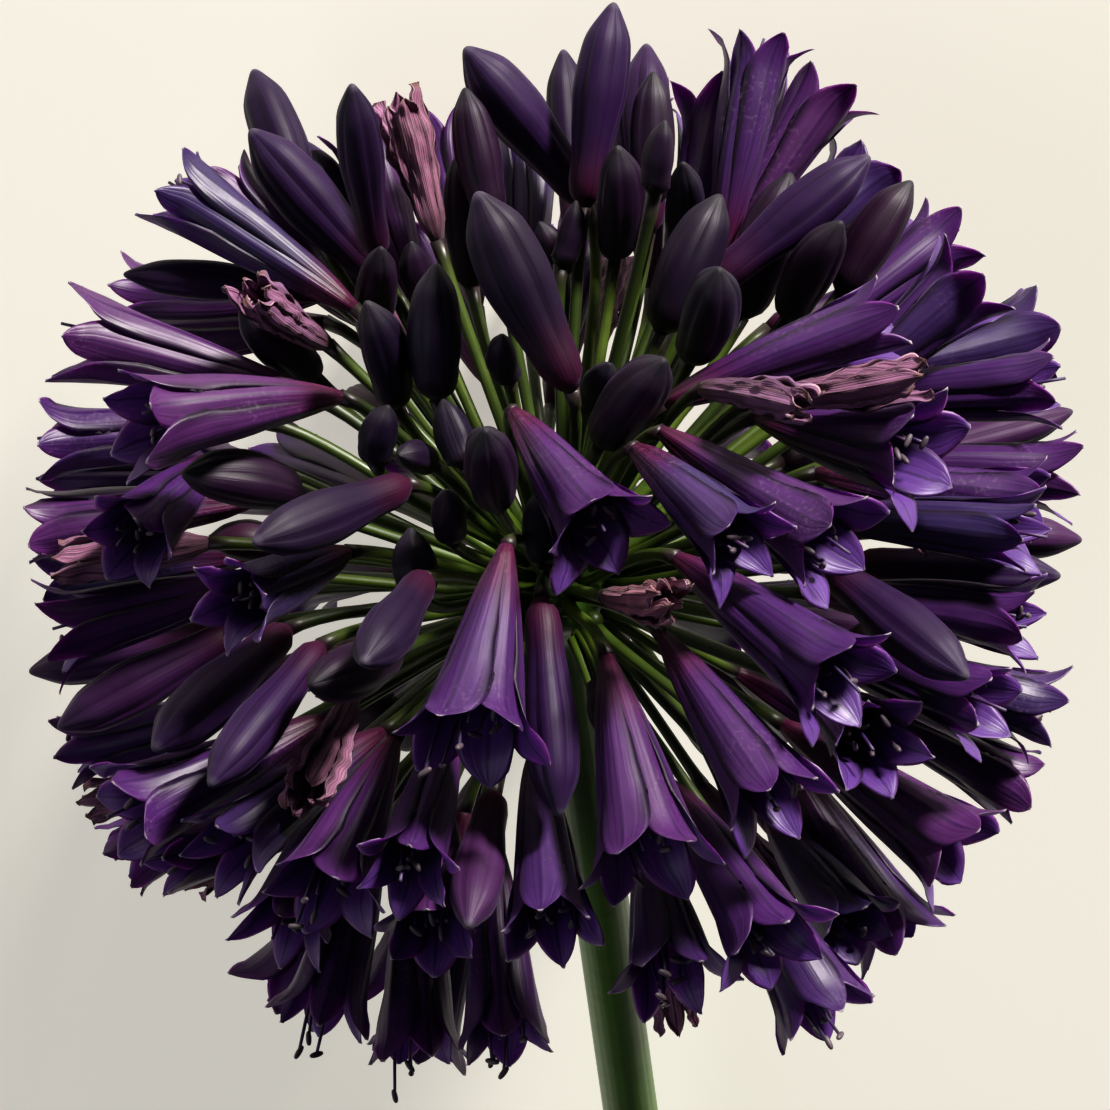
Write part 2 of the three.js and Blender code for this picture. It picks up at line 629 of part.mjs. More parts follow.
function openFloret(floret) {
  const { width, first, second, roll, tip, base, keeled, simple } = floret;
  const shell = new Shell();
  const axis = tip.clone().sub(base).normalize();
  const size = ({ radius, flare = 0 }) => radius + flare * width;
  const spoke = (k) => {
    const angle = roll + k * 60 * DEG;
    return first.clone().multiplyScalar(Math.cos(angle)).addScaledVector(second, Math.sin(angle));
  };
  const even = (at) => Array(6).fill(size(at));
  let low = addPedicel(shell, floret);
  if (!simple) {
    const collar = shell.ring(midline(floret, OPEN.collar.along), first, second, even(OPEN.collar), roll);
    shell.walls(low, collar);
    low = collar;
  }
  const waist = shell.ring(midline(floret, OPEN.waist.along), first, second, even(OPEN.waist), roll);
  shell.walls(low, waist);

  // Notches stand between the tepals, and keels at their middles.
  const parting = midline(floret, OPEN.notch.along);
  const notches = shell.ring(parting, first, second, even(OPEN.notch), roll + 30 * DEG);
  const throat = shell.add(midline(floret, simple ? OPEN.shallowThroat : OPEN.throat));
  const shoulderMiddle = midline(floret, OPEN.shoulder.along);
  const wanted = OPEN.shoulder.half + OPEN.shoulder.halfFlare * width;
  const half = Math.min(wanted, OPEN.shoulder.most * size(OPEN.shoulder)); // clear of the next tepal
  for (let k = 0; k < 6; k++) {
    const out = spoke(k);
    const across = axis.clone().cross(out);
    const shoulder = shoulderMiddle.clone().addScaledVector(out, size(OPEN.shoulder));
    const left = shell.add(shoulder.clone().addScaledVector(across, -half));
    const right = shell.add(shoulder.clone().addScaledVector(across, half));
    const point = shell.add(tip.clone().addScaledVector(out, OPEN.tip.flare * width));
    const [before, after] = [notches[(k + 5) % 6], notches[k]];
    shell.face(waist[k], waist[(k + 1) % 6], after);
    if (keeled) {
      const rib = shell.add(parting.clone().addScaledVector(out, size(OPEN.notch) + OPEN.keel));
      const keel = shell.add(shoulder.clone().addScaledVector(out, OPEN.keel));
      shell.face(waist[k], rib, before);
      shell.face(waist[k], after, rib);
      shell.face(before, keel, left);
      shell.face(before, rib, keel);
      shell.face(rib, after, keel);
      shell.face(after, right, keel);
      shell.face(left, keel, point);
      shell.face(keel, right, point);
    } else {
      shell.face(waist[k], after, before);
      shell.face(before, after, left);
      shell.face(after, right, left);
      shell.face(left, right, point);
    }
    if (simple) {
      shell.face(throat, before, left);
      shell.face(throat, left, point);
      shell.face(throat, point, right);
      shell.face(throat, right, after);
      continue;
    }
    const groove = shell.add(shoulder.clone().addScaledVector(out, -OPEN.groove));
    shell.face(before, left, groove);
    shell.face(throat, before, groove);
    shell.face(throat, groove, after);
    shell.face(after, groove, right);
    shell.face(left, point, groove);
    shell.face(groove, point, right);
  }
  return shell.solid();
}

// ---------------------------------------------------------------- the whole stem

function layOutHead() {
  const draw = makeDraw(SEED);
  const listed = FLORETS.map(placeFront);
  const florets = [...listed, ...placeRest(listed, draw)];
  for (const floret of florets) {
    floret.roll = draw() * 60 * DEG;
    floret.bow = mix(-1, 1, draw());
    const axis = floret.tip.clone().sub(floret.base).normalize();
    floret.hint = Math.abs(axis.dot(POLE)) < 0.9 ? POLE.clone() : vec(1, 0, 0);
  }
  easeApart(florets, surfaceUp());
  const knots = settleKnots(florets);
  for (const floret of florets) {
    const axis = floret.tip.clone().sub(floret.base).normalize();
    [floret.first, floret.second] = squareTo(axis, floret.hint);
    const knot = knots[floret.cyme];
    const towards = floret.base.clone().normalize();
    floret.root = knot.clone().addScaledVector(squareTo(knot.clone().normalize(), towards)[0], ROOT_OFFSET);
  }
  return { florets, knots };
}

// The angle between the scape and the surface that it lies on.
function lyingTilt() {
  const reach = Math.hypot(SCAPE_LENGTH, SCAPE_FOOT_RADIUS);
  return Math.asin((HUB_HEIGHT + PRESSED) / reach) - Math.atan2(SCAPE_FOOT_RADIUS, SCAPE_LENGTH);
}

// The head frame's x, y and z in the lying stem's frame.
function headAxes() {
  const rise = 90 * DEG - POLE_LEAN - lyingTilt();
  const right = vec(1, 0, 0);
  const front = vec(0, Math.sin(rise), Math.cos(rise));
  const over = vec(0, Math.cos(rise), -Math.sin(rise));
  const x = right.clone().multiplyScalar(Math.cos(POLE_ROLL)).addScaledVector(over, -Math.sin(POLE_ROLL));
  const y = over.clone().multiplyScalar(Math.cos(POLE_ROLL)).addScaledVector(right, Math.sin(POLE_ROLL));
  return [x, y, front];
}

// Straight up from the surface, in the head frame.
function surfaceUp() {
  const [x, y, z] = headAxes();
  return vec(x.z, y.z, z.z);
}

// The scape's outline from the cut end up over the receptacle: distance from the hub towards
// the pole, and radius.
function scapeOutline() {
  const outline = [
    [0, -SCAPE_LENGTH],
    [SCAPE_FOOT_RADIUS, -SCAPE_LENGTH],
    [mix(SCAPE_FOOT_RADIUS, SCAPE_NECK_RADIUS, 0.5), -SCAPE_LENGTH / 2],
    [SCAPE_NECK_RADIUS, -3.5 * RECEPTACLE_RADIUS],
    [SCAPE_NECK_RADIUS + 0.2, -1.4 * RECEPTACLE_RADIUS],
  ];
  for (let down = 135; down > 0; down -= 22.5) {
    outline.push([RECEPTACLE_RADIUS * Math.sin(down * DEG), RECEPTACLE_RADIUS * Math.cos(down * DEG)]);
  }
  outline.push([0, RECEPTACLE_RADIUS]);
  return outline.map(([radius, along]) => new THREE.Vector2(radius, along));
}

function makeScape() {
  const geometry = new THREE.LatheGeometry(scapeOutline(), SCAPE_SIDES);
  geometry.applyQuaternion(new THREE.Quaternion().setFromUnitVectors(vec(0, 1, 0), POLE));
  return toSolid(geometry);
}

// A block under the surface, in the head frame. What presses on the surface is cut flat by it.
function makeSurfaceBlock(headPlace) {
  const block = new THREE.BoxGeometry(800, 800, 40);
  block.translate(0, 0, -20);
  block.applyMatrix4(headPlace.clone().invert());
  return toSolid(block);
}

// One cyme: its knot, with its florets' pedicels grown into it.
function makeCyme(knot, florets) {
  const ball = new THREE.OctahedronGeometry(KNOT_RADIUS);
  ball.applyQuaternion(new THREE.Quaternion().setFromUnitVectors(vec(0, 1, 0), knot.clone().normalize()));
  ball.translate(...knot.toArray());
  const parts = florets.map((floret) => (floret.kind === 'open' ? openFloret(floret) : closedFloret(floret)));
  return parts.reduce((whole, part) => whole.add(part), toSolid(ball));
}

function meshOf(name, solid, { colour, roughness }) {
  const material = new THREE.MeshStandardMaterial({ color: colour, roughness, metalness: 0, flatShading: true });
  const mesh = new THREE.Mesh(toGeometry(solid), material);
  mesh.name = name;
  return mesh;
}

// The kind that most of the florets are, for the cyme's colour.
function commonKind(florets) {
  const weight = (kind) => florets.filter((floret) => floret.kind === kind).length * KINDS[kind].length;
  return Object.keys(KINDS).reduce((best, kind) => (weight(kind) > weight(best) ? kind : best));
}

function makeStem() {
  const { florets, knots } = layOutHead();
  const headPlace = new THREE.Matrix4().makeBasis(...headAxes()).setPosition(0, 0, HUB_HEIGHT);
  const surface = makeSurfaceBlock(headPlace);
  const head = new THREE.Group();
  head.applyMatrix4(headPlace);
  head.add(meshOf('scape', makeScape().subtract(surface), SCAPE_FINISH));
  let number = 0;
  knots.forEach((knot, i) => {
    const mine = florets.filter((floret) => floret.cyme === i);
    if (mine.length === 0) return;
    number += 1;
    const name = `cyme_${String(number).padStart(2, '0')}`;
    head.add(meshOf(name, makeCyme(knot, mine).subtract(surface), KINDS[commonKind(mine)]));
  });
  const stem = new THREE.Group();
  stem.add(head);
  stem.updateMatrixWorld(true);
  const middle = new THREE.Box3().setFromObject(stem, true).getCenter(vec(0, 0, 0));
  head.position.x -= middle.x;
  head.position.y -= middle.y;
  return stem;
}

const group = makeStem();

export default group;
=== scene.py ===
"""A cut agapanthus flower stem, laid down on a pale floor.

The umbel is set out in the head frame, in millimetres: the hub, where the pedicels meet, is the
origin, x runs to the right, y up, and z towards the front of the head. Each floret has a base,
where its pedicel ends, and a tip. The CAD part is laid out by the same rules, so each fine floret
grows where its solid one does. Finished meshes are in metres, in the CAD part's own frame.
"""

from __future__ import annotations

import logging
import math
from dataclasses import dataclass, field
from enum import Enum

import bpy
import numpy as np
from mathutils import Matrix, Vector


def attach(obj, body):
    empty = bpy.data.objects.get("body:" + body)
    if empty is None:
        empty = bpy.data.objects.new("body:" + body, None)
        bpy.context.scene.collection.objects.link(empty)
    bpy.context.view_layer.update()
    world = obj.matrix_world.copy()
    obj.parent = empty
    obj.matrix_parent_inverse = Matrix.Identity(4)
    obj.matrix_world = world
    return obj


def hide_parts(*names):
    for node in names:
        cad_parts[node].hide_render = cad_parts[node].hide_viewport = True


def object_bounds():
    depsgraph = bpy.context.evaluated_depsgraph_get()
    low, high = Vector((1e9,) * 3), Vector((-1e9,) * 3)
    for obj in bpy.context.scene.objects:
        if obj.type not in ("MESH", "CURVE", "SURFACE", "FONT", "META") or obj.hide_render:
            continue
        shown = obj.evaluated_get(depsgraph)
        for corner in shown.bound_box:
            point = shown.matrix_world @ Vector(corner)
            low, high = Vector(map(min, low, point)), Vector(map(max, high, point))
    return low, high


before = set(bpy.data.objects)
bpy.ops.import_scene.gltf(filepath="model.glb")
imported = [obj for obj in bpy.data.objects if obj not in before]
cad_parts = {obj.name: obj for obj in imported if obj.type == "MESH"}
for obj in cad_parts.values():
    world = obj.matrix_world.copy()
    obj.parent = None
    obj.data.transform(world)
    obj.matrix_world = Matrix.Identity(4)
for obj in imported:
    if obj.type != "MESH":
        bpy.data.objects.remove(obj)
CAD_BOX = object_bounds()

log = logging.getLogger("agapanthus")

Array = np.ndarray
Rng = np.random.Generator
Colour = tuple[float, float, float]
Node = bpy.types.Node
Socket = bpy.types.NodeSocket
Material = bpy.types.Material
Object = bpy.types.Object
MM = 0.001
TURN = 2.0 * math.pi
PARTS = 6  # a flower's tepals, its stamens and its seams
STALKS = PARTS + 1  # its stamens and its style
OFF_AXIS = 0.01  # keeps a hint from lying along the axis that it is for
OFF_RIB = 0.5  # an Across that is on neither a rib nor an edge
X_AXIS = np.array([1.0, 0.0, 0.0])


# ---------------- small helpers


def unit(vectors: Array) -> Array:
    """Vectors of length 1 along the last axis."""
    return vectors / np.linalg.norm(vectors, axis=-1, keepdims=True)


def dot(a: Array, b: Array) -> Array:
    """Dot products along the last axis, which is kept with length 1."""
    return np.sum(a * b, axis=-1, keepdims=True)


def square_to(axis: Array, hint: Array) -> tuple[Array, Array]:
    """Two directions square to axis, the first as near as can be to hint.

    Args:
        axis: unit vectors.
        hint: vectors that aren't along axis.
    Returns:
        The hint less its part along axis, made a unit vector, and axis crossed with it.
    """
    first = unit(hint - dot(hint, axis) * axis)
    return first, np.cross(axis, first)


def ramp(low: float, high: float, at: Array) -> Array:
    """0 below low, 1 above high, and the smooth step 3t^2 - 2t^3 between them."""
    t = np.clip((at - low) / (high - low), 0.0, 1.0)
    return t * t * (3.0 - 2.0 * t)


def eased(stops: Array, values: Array, at: Array) -> Array:
    """A smooth curve through values at stops, which never overshoots them.

    Each piece is a cubic. Its slope at a stop is the harmonic mean of the chords on both sides,
    or 0 where the curve turns back.

    Args:
        stops: n growing numbers.
        values: the values there, on the last axis, for any number of curves.
        at: where to read the curves.
    Returns:
        The curves' values, with at on the last axis.
    """
    stops = np.asarray(stops, float)
    values = np.asarray(values, float)
    gap = np.diff(stops)
    chord = np.diff(values, axis=-1) / gap
    left, right = chord[..., :-1], chord[..., 1:]
    onward = left * right > 0
    inner = np.where(onward, 2.0 * left * right / np.where(onward, left + right, 1.0), 0.0)
    slope = np.concatenate([chord[..., :1], inner, chord[..., -1:]], axis=-1)
    piece = np.clip(np.searchsorted(stops, at, side="right") - 1, 0, len(gap) - 1)
    t = (at - stops[piece]) / gap[piece]
    start_slope, end_slope = gap[piece] * slope[..., piece], gap[piece] * slope[..., piece + 1]
    start = (2 * t**3 - 3 * t**2 + 1) * values[..., piece] + (t**3 - 2 * t**2 + t) * start_slope
    end = (3 * t**2 - 2 * t**3) * values[..., piece + 1] + (t**3 - t**2) * end_slope
    return start + end


def hexed(code: str) -> Colour:
    """A colour's linear red, green and blue from its six-digit code, such as 43206f."""
    parts = [int(code[i:i + 2], 16) / 255.0 for i in (0, 2, 4)]
    return tuple(p / 12.92 if p <= 0.04045 else ((p + 0.055) / 1.055) ** 2.4 for p in parts)


# ---------------- the umbel's layout


class Kind(Enum):
    """What a floret is."""

    OPEN = "open"
    LONG = "long"
    BUD = "bud"
    SMALL = "small"
    WILTED = "wilted"


class Side(Enum):
    """Whether a floret is seen from in front, at the head's edge, or behind the edge."""

    FRONT = "front"
    EDGE = "edge"
    BACK = "back"


LENGTHS = {Kind.OPEN: 39.0, Kind.LONG: 34.0, Kind.BUD: 22.0, Kind.SMALL: 11.0, Kind.WILTED: 28.0}
PEDICELS = {Kind.OPEN: 50.0, Kind.LONG: 50.0, Kind.BUD: 49.0, Kind.SMALL: 46.0, Kind.WILTED: 50.0}

# Each floret that the front shows: kind, side, the base's x and y, the tip's or the mouth's x and
# y, and the width across the mouth or the bud.
FLORETS = [
    # upper left
    ("long", "back", -42, 62, -50, 85, 9), ("long", "front", -27, 48, -50, 75, 10),
    ("open", "back", -41, 55, -59, 71, 14), ("open", "edge", -44, 52, -65, 65, 18),
    ("long", "edge", -45, 52, -71.5, 53.5, 6.5), ("open", "back", -47, 47, -71, 48, 12),
    ("open", "back", -50, 43, -71, 42, 12), ("long", "back", -33, 53, -42, 75, 9),
    ("open", "back", -30, 60, -34.5, 80, 14), ("long", "front", -27, 52, -33, 78.5, 7.5),
    ("wilted", "edge", -23, 56, -26, 83, 9), ("open", "back", -16, 64, -18.5, 79, 14),
    ("open", "back", -5, 60, -5, 78, 15),
    ("bud", "edge", -13, 62, -14.5, 83, 7.5), ("bud", "front", -17, 50, -16.5, 73, 7),
    ("long", "front", 6, 64, -15, 89.5, 10), ("small", "front", -22, 50, -22, 57, 5),
    ("small", "front", 2, 52, -3, 61.5, 5.5), ("long", "back", 3, 66, 1, 90, 8),
    # top
    ("long", "edge", 7, 66, 10, 94, 9), ("long", "back", 15, 66, 15, 90, 9),
    ("bud", "edge", 12, 64, 13.5, 85.5, 7.5), ("open", "back", 19, 66, 20, 86, 14),
    ("small", "edge", 17, 66, 18, 78, 5), ("bud", "front", 9, 56, 8.5, 73.5, 8),
    ("bud", "front", 18.5, 58, 20.5, 71.5, 6.5), ("bud", "front", 17, 42, 27, 65, 9.5),
    ("bud", "front", 22, 34, 27, 51.5, 9), ("small", "front", 3, 53, 5, 61.5, 4.5),
    ("open", "back", 24, 60, 26, 86, 20), ("open", "back", 26, 55, 37, 87, 14),
    ("open", "back", 30, 55, 44, 82, 18), ("open", "back", 38, 62, 52, 75, 18),
    ("bud", "front", 32, 46, 39.5, 70.5, 9.5), ("bud", "front", 37, 47, 45, 61, 8),
    ("long", "edge", 40, 58, 53.5, 70, 9), ("bud", "edge", 45, 50, 58.5, 67, 8),
    ("open", "back", 52, 52, 63, 64, 18), ("long", "back", 50, 49, 65, 54, 8),
    # right
    ("open", "edge", 57, 38, 72, 52, 20), ("open", "front", 20, 35, 61, 47, 16),
    ("wilted", "edge", 28, 33, 62, 36, 8), ("open", "back", 60, 38, 82, 43, 20),
    ("open", "edge", 62, 33, 85, 31.5, 16), ("long", "back", 68, 25, 86, 29.5, 7),
    ("open", "edge", 56, 22, 88, 22, 16), ("open", "edge", 60, 15, 83, 12, 16),
    ("long", "back", 65, 9, 87.5, 8, 8), ("open", "edge", 62, 8, 82, 4, 14),
    ("long", "edge", 55, 4, 84, 2, 8),
    ("open", "front", 33, 29, 60, 23, 24), ("open", "front", 18, 28, 43, 9, 24),
    ("wilted", "front", 52, 15, 62, 10, 5), ("wilted", "front", 21, 31, 40, 30, 7),
    # centre
    ("long", "front", 3, 31, -12, 63, 11), ("small", "front", -8, 35, -9, 42, 5),
    ("small", "front", 5, 31, 9, 38, 5), ("bud", "front", 9, 25, 19, 38.5, 9),
    ("open", "front", -6, 28, 11, 10, 22), ("open", "front", 8, 22, 27, 6, 16),
    ("wilted", "front", 8, 6, 19, 1, 7), ("open", "front", -8, 9, -14, -21, 27),
    ("small", "front", -3, 3, -3, 15.5, 6), ("bud", "front", -11, 12, -12, 26, 8),
    ("small", "front", -18, 19, -19.5, 31, 6), ("small", "front", -29, 21, -28, 31, 6),
    ("small", "front", -17, 9, -18.5, 17, 5.5), ("small", "front", -22, -2, -23.5, 9.5, 7),
    ("bud", "front", -30, 31, -31, 47, 7.5), ("bud", "front", -21, 31, -20.5, 53, 8.5),
    ("bud", "front", -32, 44, -32, 57, 7), ("bud", "front", -40, 35, -50, 47, 8),
    ("wilted", "front", -38, 43, -53, 51, 8), ("small", "front", -20, 20, -27, 22, 5),
    ("long", "front", -24, 19, -48, 8.5, 8.5), ("open", "front", -35, 6, -53, -2, 14),
    # left
    ("open", "edge", -40, 34, -85, 38, 22), ("open", "front", -32, 31, -68, 26, 22),
    ("open", "edge", -52, 27, -87, 27, 14), ("open", "back", -55, 18, -86, 17, 14),
    ("open", "edge", -60, 12, -90, 8, 14), ("wilted", "edge", -65, 9, -87, 5.5, 9),
    ("bud", "front", -43, 16, -61, 20, 9), ("small", "front", -47, 8, -59.5, 10.5, 7),
    ("open", "front", -54, 19, -70, 8, 18), ("open", "back", -58, 5, -86, 3, 14),
    ("open", "edge", -55, 1, -87, -7, 18), ("long", "back", -65, -9, -88, -14, 8),
    ("long", "edge", -54, -7, -82.5, -23, 9), ("open", "back", -62, -22, -83, -28, 14),
    ("long", "front", -45, -7, -66, -27, 9.5), ("long", "edge", -42, -12, -58, -33, 8),
    ("wilted", "back", -65, -31, -81, -36, 8), ("open", "front", -38, -22, -67, -38, 22),
    ("open", "edge", -60, -37, -75, -47, 16), ("open", "edge", -54, -42, -69, -46, 14),
    ("wilted", "back", -54, -43, -64, -51, 8), ("open", "edge", -41, -37, -55, -53, 18),
    ("bud", "front", -27, -10, -40.5, -16, 8.5), ("long", "edge", -25, 3, -32, -12, 8),
    ("wilted", "front", -33, -19, -43, -38, 9),
    # bottom
    ("open", "front", -27, -24, -36, -49, 22), ("open", "edge", -41, -46, -49, -62, 18),
    ("open", "edge", -34, -52, -37, -72, 18), ("open", "edge", -24, -55, -23, -80, 18),
    ("open", "edge", -12, -55, -13, -79, 18), ("long", "front", -9, -34, -13.5, -55, 8),
    ("open", "front", -19, -36, -28, -55, 17), ("open", "edge", -5, -36, -4, -58, 18),
    ("open", "edge", -21, -30, -26, -52, 13), ("long", "front", -3, 0, 0, -35, 8.5),
    ("small", "front", 8, -14, 9, -25.5, 6.5), ("open", "front", 9, -9, 15, -43, 26),
    ("open", "front", 17, -8, 37, -34, 22), ("small", "front", 28, -26, 29, -34, 5),
    ("open", "front", 20, 5, 48, -17, 22), ("long", "edge", 49, 2, 68.5, -15, 9),
    ("open", "edge", 62, -2, 82, -3, 14), ("open", "edge", 55, -13, 75, -21, 18),
    ("open", "front", 42, -17, 51, -26, 20), ("open", "back", 55, -22, 79, -34, 16),
    ("open", "edge", 45, -28, 70, -46, 22), ("open", "edge", 43, -37, 59, -62, 20),
    ("open", "front", 36, -38, 47, -56, 16), ("open", "front", 15, -42, 20, -63, 22),
    ("open", "edge", 25, -44, 37, -64, 20), ("wilted", "back", 17, -52, 20, -74, 9),
]


@dataclass(frozen=True)
class HeadSizes:
    """The umbel's driving dimensions, in millimetres and radians.

    hub_height is over the floor, and pressed is how much is flattened off what rests there, eased
    over floor_ease. The pole leans from the front (pole_lean) and to the left (pole_roll), and
    cyme_spread is from the pole down to the lowest knot. A tip at the head's edge is edge_reach
    from the hub, and at least edge_front before it or edge_back behind it. An open flower in
    front leans forward by open_lean at most. Its mouth's middle is open_past_rim times as far
    from its base as the near rim that is listed, unless it is seen as long as open_side_on. Its
    tepals' tips stand open_tip_share of its width from its midline.
    """

    hub_height: float = 84.0
    scape_length: float = 280.0
    scape_foot_radius: float = 5.8
    scape_neck_radius: float = 4.9
    receptacle_radius: float = 8.4
    pressed: float = 0.4
    floor_ease: float = 0.6
    pole_lean: float = math.radians(42.0)
    pole_roll: float = math.radians(8.0)
    sight_distance: float = 600.0
    sight_rounds: int = 6
    knot_radius: float = 1.7
    knot_reach: float = 10.4
    knot_spacing: float = 3.9
    knot_rounds: int = 60
    knot_drawn: float = 0.5
    cyme_count: int = 59
    cyme_spread: float = math.radians(128.0)
    edge_reach: float = 84.0
    edge_front: float = 6.0
    edge_back: float = 20.0
    root_offset: float = 1.0
    near_pole: float = 0.9
    open_tip_share: float = 0.46
    open_lean: float = math.radians(32.0)
    open_shortest: float = 30.0
    open_past_rim: float = 1.12
    open_side_on: float = 36.0
    seed: int = 4123

    @property
    def pole(self) -> Array:
        """The umbel's pole, a unit vector straight away from the scape."""
        forward, up, roll = math.cos(self.pole_lean), math.sin(self.pole_lean), self.pole_roll
        return np.array([-math.sin(roll) * up, math.cos(roll) * up, forward])

    @property
    def tilt(self) -> float:
        """The scape's angle to the floor.

        Returns:
            The angle at which its foot and the head both rest there.
        """
        reach = math.hypot(self.scape_length, self.scape_foot_radius)
        lowest = math.atan2(self.scape_foot_radius, self.scape_length)
        return math.asin((self.hub_height + self.pressed) / reach) - lowest

    @property
    def axes(self) -> Array:
        """The head frame's x, y and z in the lying stem's frame.

        Returns:
            A matrix that has them as its columns.
        """
        rise = math.pi / 2.0 - self.pole_lean - self.tilt
        front = np.array([0.0, math.sin(rise), math.cos(rise)])
        over = np.array([0.0, math.cos(rise), -math.sin(rise)])
        cos, sin = math.cos(self.pole_roll), math.sin(self.pole_roll)
        return np.stack([cos * X_AXIS - sin * over, cos * over + sin * X_AXIS, front], axis=1)


SIZES = HeadSizes()


@dataclass(frozen=True)
class Rest:
    """The rule that sets out the rest of the head, behind the hub and round the scape.

    A place is a direction. below and short_below are cosines to the pole. bare and bare_back
    keep the scape in view: how far beside it a place may not be, unless it is that far behind
    the hub. shares are the running total of each kind's share.
    """

    places: int = 180
    spread: float = math.radians(150.0)
    nearest: float = math.radians(12.5)
    below: float = 0.1
    bare: float = 0.3
    bare_back: float = -0.3
    droop: float = 0.2
    short_below: float = -0.35
    shorter: float = 0.5
    shares: tuple = ((Kind.OPEN, 0.62), (Kind.LONG, 0.78), (Kind.BUD, 0.92), (Kind.WILTED, 1.0))
    mouths: tuple = (15.0, 22.0)
    girths: tuple = (7.5, 9.5)


@dataclass(frozen=True)
class Ease:
    """How beads that stand for the florets are moved apart, a little at a time.

    A body bead is a share of the length, and its radius as a share of the width. An open one is
    a share of the length, and a radius of millimetres plus a share of the width. A tip bead is a
    share of the length, how far out it is as a share of the width, and its radius. A pedicel
    bead is a share of the pedicel.
    """

    passes: int = 240
    settle: int = 80
    clear: float = 0.9
    step: float = 0.45
    sideways: float = 0.65
    home: float = 0.03
    near: float = 12.0
    tip_sink: float = 1.5
    body_beads: tuple = ((0.12, 0.34), (0.37, 0.5), (0.62, 0.5), (0.88, 0.34))
    body_margin: float = 0.2
    open_beads: tuple = (
        (0.06, 2.2, 0.0), (0.22, 2.9, 0.0), (0.38, 3.6, 0.02),
        (0.55, 3.2, 0.09), (0.72, 2.0, 0.2), (0.88, 1.2, 0.28),
    )
    tip_bead: tuple = (0.97, 0.44, 2.2)
    pedicel_beads: tuple = (0.4, 0.6, 0.8, 0.95)
    pedicel_radius: float = 1.5


class Draw:
    """A seeded draw, evenly spread from 0 to 1: a state is FACTOR times the last, mod MODULUS."""

    MODULUS = 2147483647
    FACTOR = 16807

    def __init__(self, seed: int) -> None:
        """Starts at seed."""
        self.state = seed

    def __call__(self) -> float:
        """The next number."""
        self.state = self.state * self.FACTOR % self.MODULUS
        return self.state / self.MODULUS


def spiral_directions(count: int, spread: float) -> Array:
    """Directions evenly spread round the pole and down to spread.

    Direction i stands where 1 minus its cosine to the pole is (i + 0.5) / count of the way to the
    spread's, and each is turned by the golden angle from the last one.

    Args:
        count: how many.
        spread: the last one's angle from the pole, nearly.
    Returns:
        Unit vectors, (count, 3).
    """
    i = np.arange(count)
    rise = 1.0 - (i + 0.5) / count * (1.0 - math.cos(spread))
    turn = i * math.pi * (3.0 - math.sqrt(5.0))
    side, other = square_to(SIZES.pole, X_AXIS)
    across = np.sqrt(1.0 - rise * rise)
    return (
        rise[:, None] * SIZES.pole
        + (across * np.cos(turn))[:, None] * side
        + (across * np.sin(turn))[:, None] * other
    )


def depth_for(x: Array, y: Array, reach: Array) -> Array:
    """How far in front of the hub points sighted at (x, y) lie, to be reach away from the hub.

    Found by repeating: near = 1 - z / sight distance, z^2 = reach^2 - (x^2 + y^2) near^2.

    Args:
        x: where they are sighted, to the right of the hub.
        y: and above it.
        reach: how far from the hub they are to be.
    Returns:
        Their depths, or 0 where they are sighted further out than they reach.
    """
    z = np.zeros_like(x)
    for _ in range(SIZES.sight_rounds):
        near = 1.0 - z / SIZES.sight_distance
        z = np.sqrt(np.maximum(0.0, reach**2 - (x * x + y * y) * near * near))
    return z


def sighted(x: Array, y: Array, z: Array) -> Array:
    """The point at depth z that is sighted at (x, y): x and y shrink by 1 - z / sight distance."""
    near = 1.0 - z / SIZES.sight_distance
    return np.stack([x * near, y * near, z], axis=-1)


